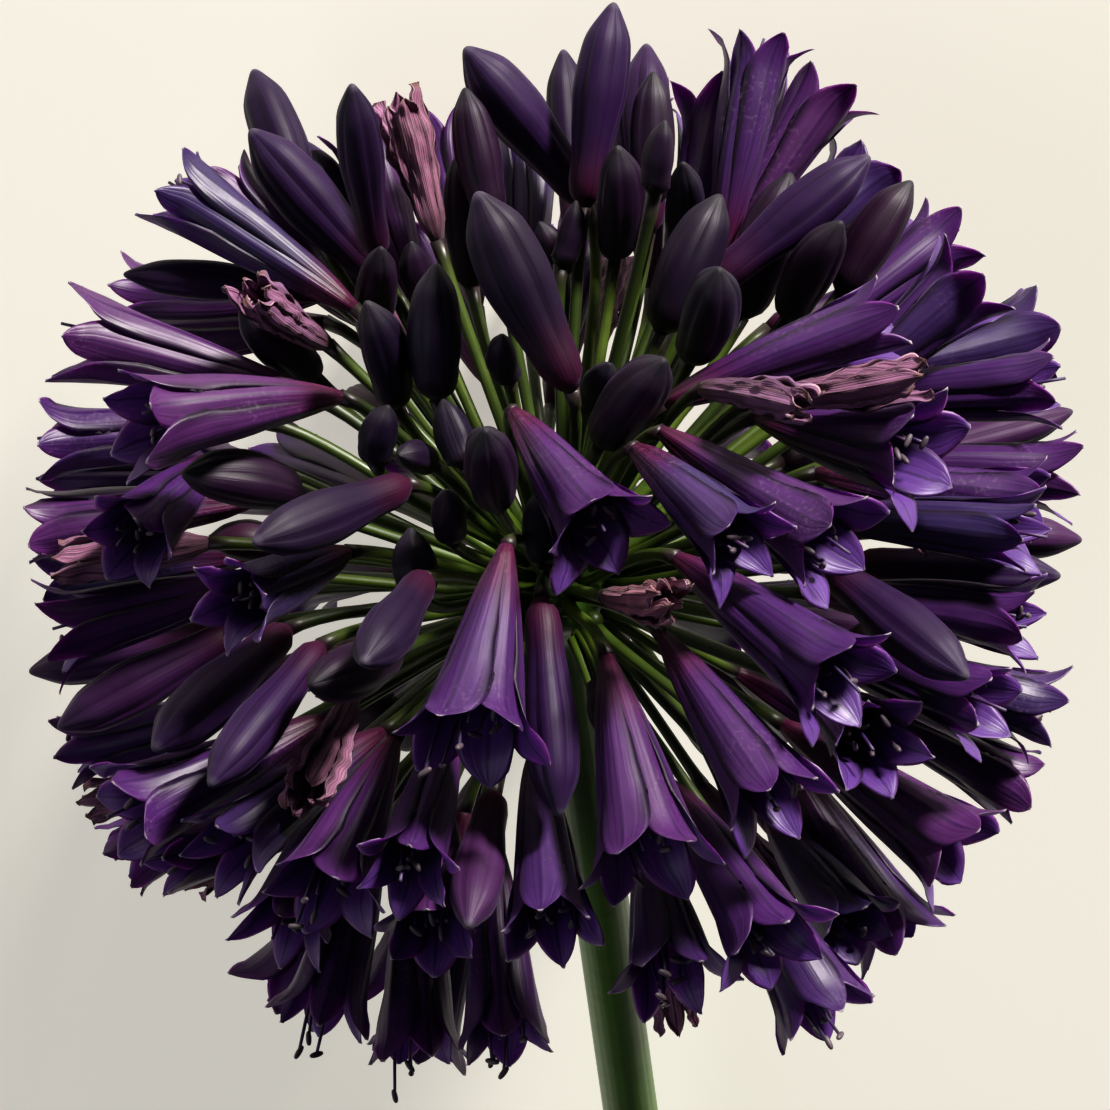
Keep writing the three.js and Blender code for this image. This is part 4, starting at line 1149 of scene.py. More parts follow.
@dataclass(frozen=True)
class SkinFinish:
    """A finish of one of the plant's living skins.

    Colours run from foot to tip, and from cool to warm by the skin's tone. rib is the colour of
    a tepal's midrib or of a bud's seams, where Across is 0. The groove shade is painted shade in
    the grooves where tepals meet, and edge is the colour of a thin margin where Across is 1 past
    the mouth. inside is the colour of the inner faces, the throat shade is painted shade in a
    flower's throat, and the glint colour is that of pale specks, which are painted glints. A pale
    waxy haze near the tip carries a painted sheen. A share of 0 leaves its colour out.
    """

    name: str
    foot: str
    body: str
    warm: str
    cool: str
    tip: str
    rib: str
    # painted shade in the grooves where tepals meet
    fold_shade: str = ""
    edge: str = ""
    inside: str = ""
    # painted shade in a flower's throat
    throat_shade: str = ""
    foot_end: float = 0.3
    tip_start: float = 0.9
    rib_width: float = 0.12
    rib_share: float = 0.0
    # where across the tepal the painted groove shade starts, and its strength
    fold_shade_start: float = 0.45
    fold_shade_share: float = 0.0
    edge_share: float = 0.0
    inside_share: float = 0.0
    line_count: float = 7.0
    line_share: float = 0.1
    line_depth: float = 0.00006
    mottle: float = 0.2
    # pale specks: painted glints
    glint_share: float = 0.0
    glint: str = "b79ab6"
    rough: float = 0.42
    rough_spread: float = 0.14
    gloss: float = 0.5
    sheen: float = 0.12
    sheen_tint: str = "9c86c4"
    coat: float = 0.0
    # a pale waxy haze near the tip, with a painted sheen
    bloom_and_sheen: float = 0.0
    bloom_and_sheen_start: float = 0.55
    bloom_and_sheen_colour: str = "5c6270"
    glow: float = 0.0

    def make(self, palette: Palette) -> Material:
        """Builds the material with nodes.

        Args:
            palette: the shared effects.
        Returns:
            The material.
        """
        material = bpy.data.materials.new(self.name)
        material.use_nodes = True
        material.node_tree.nodes.clear()
        graph = Graph(material.node_tree)
        pattern = graph.add("ShaderNodeUVMap", uv_map="pattern").outputs["UV"]
        split = graph.add("ShaderNodeSeparateXYZ", {"Vector": pattern})
        across, along = split.outputs["X"], split.outputs["Y"]
        aside = graph.math("ABSOLUTE", across)
        lines = palette.lines.use(
            graph, {"Across": across, "Along": along, "Count": self.line_count},
        )
        colour = self._colour(graph, palette, aside, along, lines)

        smoothest = self.rough - self.rough_spread / 2
        patch = graph.noise(GRAIN.rough_scale)
        rough = graph.math("MULTIPLY_ADD", patch, self.rough_spread, smoothest)
        bump = graph.add("ShaderNodeBump", {
            "Height": self._height(graph, lines), "Strength": GRAIN.bump, "Distance": self.line_depth,
        })
        surface = graph.add("ShaderNodeBsdfPrincipled", {
            "Base Color": colour, "Roughness": rough, "Normal": bump.outputs["Normal"],
            "Sheen Weight": self.sheen, "Sheen Roughness": GRAIN.sheen_rough,
            "Sheen Tint": hexed(self.sheen_tint),
            "Coat Weight": self.coat, "Coat Roughness": GRAIN.coat_rough,
            "Specular IOR Level": self.gloss, "Subsurface Weight": self.glow,
            "Subsurface Scale": GRAIN.glow_depth, "Subsurface Radius": GRAIN.glow_radii,
        })
        graph.add("ShaderNodeOutputMaterial", {"Surface": surface.outputs["BSDF"]})
        return material

    def _colour(self, graph: Graph, palette: Palette, aside: Socket, along: Socket,
                lines: Node) -> Socket:
        """The colour: grown, then the inside with its painted throat shade, lines, rib, painted groove
        shade, edge, pale specks of painted glint and a pale haze with painted sheen.

        Args:
            graph: the material's graph.
            palette: the shared effects.
            aside: how far a point is from the middle of its tepal, 0 to 1.
            along: how far it is from foot to tip, 0 to 1.
            lines: the fine lines' node.
        Returns:
            The colour.
        """
        tone = graph.add("ShaderNodeAttribute", attribute_name="tone").outputs["Fac"]
        node = palette.grown.use(graph, {
            "Along": along, "Tone": tone, "Foot": hexed(self.foot), "Body": hexed(self.body),
            "Warm": hexed(self.warm), "Cool": hexed(self.cool), "Tip": hexed(self.tip),
            "Foot End": self.foot_end, "Tip Start": self.tip_start, "Mottle": self.mottle,
        })
        colour = node.outputs["Color"]
        if self.inside_share > 0.0:
            face = graph.add("ShaderNodeAttribute", attribute_name="face").outputs["Fac"]
            # the inner faces, with painted shade in the throat that gives way towards the mouth
            way_out = graph.step(along, *GRAIN.throat)
            throat = graph.mix(way_out, hexed(self.throat_shade), hexed(self.inside))
            colour = graph.mix(graph.math("MULTIPLY", face, self.inside_share), colour, throat)
        streaks = graph.math("MULTIPLY", lines.outputs["Mask"], self.line_share)
        colour = graph.mix(streaks, colour, hexed(self.rib))
        if self.rib_share > 0.0:
            core = self.rib_width * GRAIN.rib_core
            at_rib = graph.step(aside, core, self.rib_width, self.rib_share, 0.0)
            colour = graph.mix(at_rib, colour, hexed(self.rib))
        # painted shade in the grooves where tepals meet, which gives way at the mouth; past the mouth, the
        # margin's own colour
        if self.fold_shade_share > 0.0:
            mouth = graph.step(along, *GRAIN.mouth)
            in_fold_shade = graph.step(aside, self.fold_shade_start, GRAIN.fold_shade_end, 0.0, self.fold_shade_share)
            in_fold_shade = graph.math("MULTIPLY", in_fold_shade, graph.math("SUBTRACT", 1.0, mouth))
            colour = graph.mix(in_fold_shade, colour, hexed(self.fold_shade))
            at_edge = graph.step(aside, *GRAIN.edge, 0.0, self.edge_share)
            at_edge = graph.math("MULTIPLY", at_edge, mouth)
            colour = graph.mix(at_edge, colour, hexed(self.edge))
        # pale specks in patches: painted glints
        if self.glint_share > 0.0:
            noise = graph.noise(GRAIN.glint_spot_scale)
            glints = graph.step(noise, *GRAIN.glint_spot, 0.0, self.glint_share)
            area = graph.step(graph.noise(GRAIN.glint_area_scale, 2.0), *GRAIN.glint_area)
            glints = graph.math("MULTIPLY", glints, area)
            colour = graph.mix(glints, colour, hexed(self.glint))
        # a pale waxy haze near the tip, with a painted sheen
        if self.bloom_and_sheen > 0.0:
            haze_and_sheen = graph.step(along, self.bloom_and_sheen_start, 1.0, 0.0, self.bloom_and_sheen)
            noise = graph.noise(GRAIN.bloom_and_sheen_scale)
            patch = graph.step(noise, *GRAIN.bloom_and_sheen_patch, GRAIN.bloom_and_sheen_least, 1.0)
            haze_and_sheen = graph.math("MULTIPLY", haze_and_sheen, patch)
            colour = graph.mix(haze_and_sheen, colour, hexed(self.bloom_and_sheen_colour))
        return colour

    def _height(self, graph: Graph, lines: Node) -> Socket:
        """The bump's height: the fine lines with a little grain on them."""
        grain = graph.math("MULTIPLY", graph.noise(GRAIN.grain_scale, 2.0), GRAIN.grain_share)
        return graph.math("ADD", lines.outputs["Height"], grain)


# Its groove and throat colours are painted shade, and its pale specks are painted glints.
TEPALS = SkinFinish(
    name="dark_violet_tepals", foot="521234", body="431d59", warm="50265a", cool="332853",
    tip="a39aa0", rib="220a38", fold_shade="10041a", edge="2c1240", inside="5a3880", throat_shade="0a0310",
    inside_share=0.88, foot_end=0.42, tip_start=0.982, rib_width=0.1, rib_share=0.55,
    fold_shade_start=0.48, fold_shade_share=0.92, edge_share=0.5, line_share=0.16, glint_share=0.1, rough=0.44,
    gloss=0.46, sheen=0.09, sheen_tint="b79ad0", glow=0.22,
)
# Its pale haze near the tip carries a painted sheen.
CLOSED = SkinFinish(
    name="violet_closed_flowers", foot="3a0a28", body="2a103c", warm="421e48", cool="1c0b27",
    tip="4c4454", rib="0a0310", foot_end=0.4, tip_start=0.955, rib_width=0.11, rib_share=0.7,
    line_count=5.0, line_share=0.06, line_depth=0.00004, rough=0.56, gloss=0.27, sheen=0.1,
    sheen_tint="a486c8", bloom_and_sheen=0.1, bloom_and_sheen_start=0.6, bloom_and_sheen_colour="565064",
)
# Its pale haze near the tip carries a painted sheen.
BUDS = SkinFinish(
    name="aubergine_buds", foot="1a0715", body="250b29", warm="320f29", cool="180b25",
    tip="19131c", rib="0a030c", tip_start=0.78, rib_share=0.6, line_count=4.0, line_share=0.06,
    line_depth=0.00005, rough=0.52, gloss=0.34, sheen=0.05, sheen_tint="9a86b8", bloom_and_sheen=0.22,
    bloom_and_sheen_start=0.7, bloom_and_sheen_colour="504c5a",
)
# Its groove and throat colours are painted shade.
FADED = SkinFinish(
    name="dusty_pink_faded_flowers", foot="4e283a", body="92607e", warm="8a5058", cool="74507a",
    tip="6d4b44", rib="32161e", fold_shade="32161e", edge="cfa9ba", inside="a06e94", throat_shade="32161e",
    inside_share=0.6, rib_share=0.75, fold_shade_share=0.7, edge_share=0.6, line_count=11.0,
    line_share=0.55, line_depth=0.00025, mottle=0.45, rough=0.7, sheen=0.3, sheen_tint="e0c8d4",
)
PEDICEL_GREEN = SkinFinish(
    name="green_pedicels", foot="4c621d", body="384815", warm="4f611f", cool="2c3a13",
    tip="2a1a22", rib="2f3f14", foot_end=0.5, tip_start=0.82, rib_share=0.2, line_count=4.0,
    line_share=0.25, sheen=0.0, mottle=0.3,
)
SCAPE_GREEN = SkinFinish(
    name="green_scape", foot="5a7430", body="527a26", warm="648a30", cool="466c22", tip="5c8230",
    rib="39581c", inside="c3cf9a", throat_shade="c3cf9a", inside_share=1.0, tip_start=0.92,
    line_count=22.0, line_share=0.22, rough=0.36, sheen=0.0, coat=0.12,
)
STAMEN_FINISH = SkinFinish(
    name="violet_filaments_and_anthers", foot="3a2456", body="3a2052", warm="4a2250",
    cool="30204e", tip="584a68", rib="2a1440", inside="584c54", throat_shade="584c54", inside_share=1.0,
    foot_end=0.35, line_count=2.0, line_share=0.05, rough=0.5, sheen=0.05,
)


# ---------------- the plant's own pieces


def set_round(umbel: Umbel, florets: Array, along: Array, turn: Array, radial: Array,
              lateral: Array) -> Array:
    """Points round florets' bowed midlines, in the head frame.

    With e(v) = cos v first + sin v second, a point is base + along length axis
    + 4 bow along (1 - along) first + radial e(roll + turn) + lateral e(roll + turn + 90 degrees).

    Args:
        umbel: the head.
        florets: which florets, on the arrays' first axis.
        along: shares of the floret's length.
        turn: angles from the floret's roll.
        radial: millimetres out from the midline.
        lateral: millimetres sideways.
    Returns:
        The points, with x, y and z on a new last axis.
    """
    names = ("base", "length", "axis", "first", "second", "roll", "bow")
    base, length, axis, first, second, roll, bow = (getattr(umbel, name)[florets] for name in names)
    extra = (slice(None),) + (None,) * (radial.ndim - 1)
    angle = roll[extra] + turn
    cos, sin = np.cos(angle), np.sin(angle)
    share = np.broadcast_to(along, radial.shape)
    on_first = radial * cos - lateral * sin + 4.0 * bow[extra] * share * (1.0 - share)
    on_second = radial * sin + lateral * cos
    on_axis = share * length[extra]
    parts = zip((on_axis, on_first, on_second), (axis, first, second))
    return base[extra] + sum(value[..., None] * way[extra] for value, way in parts)


def rounded_least(a: Array, b: Array, power: float) -> Array:
    """The smaller of a and b, rounded where they meet: (a^-power + b^-power)^(-1 / power)."""
    return (a**-power + b**-power) ** (-1.0 / power)


@dataclass(frozen=True)
class TepalForm:
    """How a flower's six tepals run from the foot of its tube to their tips.

    Radii are millimetres plus a share (flares) of the flower's width, at shares (stops) of its
    length. Where a name ends in over, its pair of numbers is the stretch of the length that
    something comes in over. Any other pair is a range that each flower draws from, but for
    covered: a tepal's half-width as a share of its sixth of the tube, where its neighbours stop
    holding it and where they hold it fully. The waves of folds and all fine waves are in
    radians, and the other waves are turns along the tepal.
    """

    stops: tuple
    radii: tuple
    flares: tuple
    size_bias: float = 0.7
    lap: float = 1.14
    mouth_lap: tuple = (1.2, 1.5)
    lap_over: tuple = (0.5, 0.82)
    widest: tuple = (4.2, 6.4)
    outer_width: float = 0.95
    inner_width: float = 1.06
    width_spread: float = 0.04
    join: float = 5.0
    narrow_from: tuple = (0.68, 0.83)
    narrow_by_size: float = 0.6
    acute: tuple = (1.6, 2.6)
    closing: float = 0.85
    knob: float = 0.34
    bulge: float = 0.66
    flat: float = 0.9
    flat_over: tuple = (0.62, 0.95)
    most_bent: float = 0.97
    apart: float = 0.3
    apart_over: tuple = (0.15, 0.6)
    tuck: float = 0.5
    tuck_over: tuple = (0.35, 0.6)
    covered: tuple = (0.75, 1.1)
    free_over: tuple = (0.5, 0.75)
    mouth: float = 0.76
    curl: tuple = (1.6, 3.8)
    curl_spread: float = 0.4
    curl_power: float = 2.2
    fall: float = 0.03
    reflex: float = 0.35
    wave: float = 0.42
    margin_waves: float = 1.5
    margin_apart: float = 0.9
    pleat: float = 0.0
    pleat_over: tuple = (0.1, 0.5)
    fold_waves: float = 4.4
    fine_fold_waves: float = 9.0
    crumple: float = 0.0
    crumple_over: tuple = (0.12, 0.4)
    dent_waves: float = 4.0
    fine_dent_waves: float = 31.0
    twist: float = 0.2
    slip: float = 0.05
    uneven: float = 0.05
    shorter: float = 0.03
    thickness: float = 0.28
    tip_thickening: float = 0.8
    tip_over: tuple = (0.96, 1.0)
    keel: float = 0.22
    keel_width: float = 0.2
    keel_over: tuple = (0.02, 0.15)
    keel_out_over: tuple = (0.85, 1.0)
    foot_depth: float = 0.01
    flower_tone: float = 0.8
    tepal_tone: float = 0.2
    row_bias: float = 1.45
    rows: int = 26
    columns: int = 11

    def _margin(self, s: Array, u: Array, number: Array, phase: Array) -> Array:
        """The margin's wave: a sine along s, a little ahead on one side of the tepal."""
        turns = self.margin_waves + 0.5 * number
        return np.sin(TURN * turns * s + math.pi * phase + self.margin_apart * np.sign(u))

    def _folds(self, s: Array, u: Array, crease: Array, slip: Array) -> Array:
        """Pleats: a cosine across the tepal, and a finer one half as high."""
        wide = np.cos(self.fold_waves * u + 2.0 * crease + 2.0 * s)
        return wide + 0.5 * np.cos(self.fine_fold_waves * u - 3.0 * slip)

    def _dents(self, s: Array, u: Array, number: Array, crease: Array) -> Array:
        """Crumples: a sine along the tepal that slants across it, and a finer one."""
        wide = np.sin(TURN * (self.dent_waves + 2.0 * number) * s + 3.0 * u * crease)
        return wide + 0.6 * np.sin(self.fine_dent_waves * s + 5.0 * u)

    def skins(self, umbel: Umbel, florets: Array, rng: Rng) -> Skin:
        """The six tepals of each flower, each a thin closed skin.

        At share s along and u across (-1 to 1), with R(s) the radius from the midline and C the
        radius of the cross-section's arc, the half-angle is m = arcsin(h(s) / C), and a point is
        R - C (1 - cos u m) out and C sin u m sideways. The half-width h is a little over a sixth
        of the tube, but no more than the widest, and closes as (1 - x^acute)^closing, where x
        runs from 0 where the tepal starts to narrow to 1 at its tip. C is less than R in the
        tube, so that tepals bulge between well-sunk grooves, and more in the mouth. Past the
        mouth tips curl out as the way past it to curl_power. Margins wave as u^2 sin where a
        tepal no longer covers its neighbours, and inner tepals tuck theirs under the outer ones
        by tuck u^2. The two faces stand apart by thickness sqrt(1 - u^2), with a keel of
        exp(-(u / keel_width)^2) on the back.

        Args:
            umbel: the head.
            florets: which flowers.
            rng: the seeded draw.
        Returns:
            Skins in the order flower, tepal.
        """
        count = len(florets)
        t = np.linspace(0.0, 1.0, self.rows)
        s = (1.0 - (1.0 - t) ** self.row_bias)[None, None, :, None]
        u = np.linspace(-1.0, 1.0, self.columns)
        u = np.concatenate([u, u[-2:0:-1]])[None, None, None, :]
        outside = (np.arange(2 * self.columns - 2) < self.columns)[None, None, None, :]
        outer = (np.arange(PARTS) % 2 == 0)[None, :, None, None]
        drawn = rng.uniform(-1.0, 1.0, (9, count, PARTS, 1, 1))
        swell, lift, cut, breadth, number, phase, crease, slip, lean = drawn
        own = rng.uniform(0.0, 1.0, (4, count, 1, 1, 1))
        broad = own[0] ** self.size_bias
        narrow = self.narrow_by_size * broad + (1.0 - self.narrow_by_size) * own[1]
        ranges = self.widest, self.narrow_from, self.acute, self.curl, self.mouth_lap
        widest, narrow_from, acute, curl, mouth_lap = (
            low + (high - low) * share
            for (low, high), share in zip(ranges, (broad, narrow, own[2], own[3], broad))
        )

        knots = np.array(self.radii) + np.array(self.flares) * umbel.width[florets][:, None]
        radius = eased(self.stops, knots, s.ravel())[:, None, :, None]
        radius = radius + np.where(outer, self.apart, -self.apart) * ramp(*self.apart_over, s)
        lap = self.lap + (mouth_lap - self.lap) * ramp(*self.lap_over, s)
        sixth = lap * radius * math.sin(TURN / (2.0 * PARTS))
        whorl = np.where(outer, self.outer_width, self.inner_width)
        widest = widest * whorl * (1.0 + self.width_spread * breadth)
        x = np.clip((s - narrow_from) / (1.0 - narrow_from), 0.0, 1.0)
        closing = np.maximum(1.0 - x**acute, 0.0) ** self.closing
        half = np.maximum(rounded_least(sixth, widest, self.join) * closing, self.knob)
        loose = (1.0 - ramp(*self.covered, half * lap / sixth)) * ramp(*self.free_over, s)
        radius = radius * (1.0 + self.uneven * swell * loose)
        curve = radius * (self.bulge + self.flat * ramp(*self.flat_over, s))
        spread = np.arcsin(np.clip(half / curve, 0.0, self.most_bent))
        lateral = curve * np.sin(u * spread)
        radial = radius - curve * (1.0 - np.cos(u * spread))

        past = np.maximum(0.0, (s - self.mouth) / (1.0 - self.mouth))
        radial = radial - np.where(outer, 0.0, self.tuck) * u**2 * ramp(*self.tuck_over, s)
        radial = radial + curl * (0.8 + self.curl_spread * lift) * past**self.curl_power
        share = s * (1.0 - self.shorter * (0.5 + 0.5 * cut) * s)
        share = share - self.fall * (1.0 + 0.5 * lift) * past**3
        waved = self.wave * u**2 * self._margin(s, u, number, phase)
        radial = radial + (self.reflex * np.abs(u) ** 3 + waved) * loose * closing
        folded = self.pleat * self._folds(s, u, crease, slip)
        radial = radial + folded * ramp(*self.pleat_over, s)
        dented = self.crumple * self._dents(s, u, phase, crease)
        radial = radial + dented * ramp(*self.crumple_over, s)

        tilt = self.twist * lean * loose
        radial = radial + lateral * np.sin(tilt)
        lateral = lateral * np.cos(tilt)
        keel = np.exp(-((u / self.keel_width) ** 2)) * ramp(*self.keel_over, s)
        keel = keel * (1.0 - ramp(*self.keel_out_over, s))
        thick = self.thickness * np.sqrt(1.0 - u**2)
        thick = thick * (1.0 + self.tip_thickening * ramp(*self.tip_over, s))
        radial = radial + np.where(outside, self.keel * keel, -thick + 0.5 * self.keel * keel)

        turn = (np.arange(PARTS) * TURN / PARTS)[None, :, None, None] + self.slip * slip * loose
        points = set_round(umbel, florets, share, turn, radial, lateral)
        middle = np.zeros_like(radial[:, :, :1])
        foot = set_round(umbel, florets, share[:, :, :1] - self.foot_depth, turn[:, :, :1], middle, middle)
        ends = np.stack([foot[:, :, 0, 0], points[:, :, -1].mean(axis=2)], axis=2)
        tone = rng.uniform(-1.0, 1.0, (count, 1, 1, 1)) * self.flower_tone + self.tepal_tone * breadth
        skins = count * PARTS
        shape = points.shape[:-1]
        pattern = [
            np.broadcast_to(value, shape).reshape(skins, *shape[2:])
            for value in (u, s, tone, np.where(outside, 0.0, 1.0))
        ]
        return Skin.of(points.reshape(skins, *shape[2:], 3), ends.reshape(skins, 2, 3), *pattern)


OPEN_FORM = TepalForm(
    stops=(0.0, 0.04, 0.12, 0.25, 0.5, 0.7, 0.85, 1.0),
    radii=(1.15, 1.6, 2.3, 2.6, 3.1, 2.6, 1.4, 0.0),
    flares=(0.0, 0.0, 0.0, 0.035, 0.085, 0.155, 0.245, 0.37),
)
WILTED_FORM = TepalForm(
    stops=(0.0, 0.06, 0.14, 0.36, 0.62, 0.86, 1.0),
    radii=(1.15, 1.6, 0.0, 0.0, 0.0, 0.0, 0.0),
    flares=(0.0, 0.0, 0.26, 0.3, 0.42, 0.38, 0.26),
    mouth_lap=(1.14, 1.14), widest=(2.4, 3.0), narrow_from=(0.7, 0.8), acute=(2.0, 4.0),
    bulge=1.0, flat=0.6, wave=0.9, pleat=0.35, crumple=0.28, twist=0.7, uneven=0.22,
    shorter=0.16, curl=(0.5, 1.4), thickness=0.35,
)


class Quarter(Enum):
    """The quarters of the head that the open flowers are gathered in."""

    FRONT_LEFT = "front_left"
    FRONT_RIGHT = "front_right"
    BACK_LEFT = "back_left"
    BACK_RIGHT = "back_right"

    def holds(self, base: Array) -> Array:
        """Whether each of the florets with these bases is in the quarter."""
        front, left = base[:, 2] > 0, base[:, 0] < 0
        return (front == self.value.startswith("front")) & (left == self.value.endswith("left"))


@dataclass
class OpenFlowers:
    """The open flowers' tepals: a tube of six that part into a trumpet's mouth."""

    form: TepalForm = OPEN_FORM
    seed: int = 11

    def build(self, umbel: Umbel, finish: Material) -> list[Object]:
        """Makes one piece for each quarter of the head.

        Args:
            umbel: the head.
            finish: the tepals' material.
        Returns:
            The four pieces.
        """
        rng = np.random.default_rng(self.seed)
        flowers = umbel.of(Kind.OPEN)
        made = []
        for quarter in Quarter:
            mine = flowers[quarter.holds(umbel.base[flowers])]
            piece = Piece(f"open_tepals_{quarter.value}", "tepals", umbel.cyme_nodes(mine))
            made.append(make_piece(piece, umbel, [self.form.skins(umbel, mine, rng)], finish))
        return made


@dataclass(frozen=True)
class BudForm:
    """The outline of a closed flower: shares of its width (girths) at shares of its length.

    A pair of numbers whose name ends in over is the stretch that something comes in over: of the
    length, or for raised_over of the way from a seam to the middle of its sector.
    """

    stops: tuple
    girths: tuple
    foot_radius: float = 1.2
    foot_over: tuple = (0.0, 0.3)
    blunt: float = 6.0
    point: float = 0.3
    point_over: tuple = (0.78, 1.0)
    point_power: float = 1.5
    seam: float = 0.05
    seam_width: float = 0.25
    keel: float = 0.03
    raised: float = 0.055
    raised_over: tuple = (0.0, 0.28)
    sunk_share: float = 0.4
    relief_over: tuple = (0.08, 0.4)
    relief_out: float = 0.6
    relief_out_over: tuple = (0.9, 1.0)
    sway: float = 0.05
    oval: float = 0.03
    tone_middle: float = 0.45
    tone_fall: float = 1.3
    tone_spread: float = 0.5
    row_bias: float = 1.7
    rows: int = 26
    columns: int = 48

    def skins(self, umbel: Umbel, florets: Array, rng: Rng) -> Skin:
        """One closed skin for each floret.

        The radius at share s and angle v is (width girth(s) sqrt(1 - s^blunt) + foot) times
        1 - seam exp(-(d / seam_width)^2) + keel d^2, where d runs from 0 at each of the six seams
        to 1 half way between them. Every other sector, an outer tepal, is raised from its edges
        in, and the others are sunk. The seams sway to one side as sway sin(pi s), and the end
        narrows by the point. Florets near the pole have the lower tones.

        Args:
            umbel: the head.
            florets: which florets.
            rng: the seeded draw.
        Returns:
            The skins.
        """
        count = len(florets)
        width = umbel.width[florets][:, None]
        t = np.linspace(0.0, 1.0, self.rows + 1)[:-1]
        s = 1.0 - (1.0 - t) ** self.row_bias
        girth = eased(self.stops, np.array(self.girths), s)
        foot = self.foot_radius * (1.0 - ramp(*self.foot_over, s))
        narrowed = 1.0 - self.point * ramp(*self.point_over, s) ** self.point_power
        smooth = width * girth * narrowed * np.sqrt(1.0 - s**self.blunt) + foot
        v = np.arange(self.columns) * TURN / self.columns
        drawn = rng.uniform(-1.0, 1.0, (2, count, 1, 1))
        bend = self.sway * drawn[0] * np.sin(math.pi * s)[None, :, None]
        sector = (v[None, None, :] + bend + math.pi * drawn[1]) * PARTS / TURN
        d = np.abs(sector - np.round(sector)) * 2.0
        outer = np.floor(sector) % 2.0 == 0.0
        fade = ramp(*self.relief_over, s) * (1.0 - self.relief_out * ramp(*self.relief_out_over, s))
        lifted = np.where(outer, self.raised * ramp(*self.raised_over, d), -self.sunk_share * self.raised)
        seams = self.seam * np.exp(-((d / self.seam_width) ** 2))
        shaped = 1.0 + fade[None, :, None] * (lifted - seams + self.keel * d**2)
        lean = 1.0 + self.oval * np.cos(v[None, None, :] + rng.uniform(0, TURN, (count, 1, 1)))
        radial = smooth[:, :, None] * shaped * lean
        share = np.broadcast_to(s[None, :, None], radial.shape)
        points = set_round(umbel, florets, share, v[None, None, :], radial, np.zeros_like(radial))
        height = unit(umbel.base[florets]) @ SIZES.pole
        spread = rng.uniform(-self.tone_spread, self.tone_spread, count)
        tone = np.clip(self.tone_middle - self.tone_fall * height + spread, -1.0, 1.0)
        ends = np.stack([umbel.base[florets], umbel.tip[florets]], axis=1)
        return Skin.of(points, ends, d, share, tone[:, None, None])


LONG_FORM = BudForm(
    stops=(0.0, 0.08, 0.2, 0.4, 0.6, 0.8, 1.0),
    girths=(0.0, 0.2, 0.31, 0.42, 0.505, 0.5, 0.42),
)
BUD_FORM = BudForm(
    stops=(0.0, 0.08, 0.2, 0.35, 0.52, 0.75, 1.0),
    girths=(0.0, 0.24, 0.39, 0.475, 0.51, 0.49, 0.42), blunt=4.5,
)
SMALL_FORM = BudForm(
    stops=(0.0, 0.1, 0.25, 0.5, 0.75, 1.0),
    girths=(0.0, 0.3, 0.45, 0.52, 0.48, 0.38), blunt=3.5, rows=16, columns=24,
)


@dataclass
class FloretPiece:
    """Florets that make one piece, which is called as its slot is. forms are kinds with forms."""

    name: str
    forms: tuple[tuple[Kind, TepalForm | BudForm], ...]
    seed: int

    def build(self, umbel: Umbel, finish: Material) -> Object:
        """Makes the piece.

        Args:
            umbel: the head.
            finish: its material.
        Returns:
            The piece.
        """
        rng = np.random.default_rng(self.seed)
        skins = [form.skins(umbel, umbel.of(kind), rng) for kind, form in self.forms]
        florets = umbel.of(*(kind for kind, _ in self.forms))
        piece = Piece(self.name, self.name, umbel.cyme_nodes(florets))
        return make_piece(piece, umbel, skins, finish)


@dataclass
class ClosedFlowers(FloretPiece):
    """Full-grown flowers that are still shut."""

    name: str = "closed_flowers"
    forms: tuple = ((Kind.LONG, LONG_FORM),)
    seed: int = 31


@dataclass
class Buds(FloretPiece):
    """The dark buds, half-grown and small."""

    name: str = "buds"
    forms: tuple = ((Kind.BUD, BUD_FORM), (Kind.SMALL, SMALL_FORM))
    seed: int = 37


@dataclass
class FadedFlowers(FloretPiece):
    """Wilted flowers: the open ones' six tepals, shrunk, folded and crumpled."""

    name: str = "faded_flowers"
    forms: tuple = ((Kind.WILTED, WILTED_FORM),)
    seed: int = 23


def ball_angles(rows: int) -> Array:
    """The polar angles of a ball's rings, from its far end to its near one, without its ends."""
    return np.linspace(math.pi, 0.0, rows)[1:-1]


def turned(middles: Array, ways: Array, hint: Array, heights: Array, radii: Array,
           columns: int) -> tuple[Array, Array]:
    """Straight round bodies that share one outline: rings of radii at heights along each way.

    Args:
        middles: the bodies' middles, (bodies, 3).
        ways: their directions.
        hint: directions that aren't along ways.
        heights: how far along its way each ring stands from the middle.
        radii: each ring's radius, (rows) or with columns too.
        columns: how many points a ring has.
    Returns:
        The rings and the two end points, as tube gives them.
    """
    side, other = square_to(ways, hint)
    path = middles[:, None] + heights[None, :, None] * ways[:, None]
    sides = (np.broadcast_to(way[:, None], path.shape) for way in (side, other))
    return tube(path, *sides, np.broadcast_to(radii, (len(middles), *radii.shape)), columns)


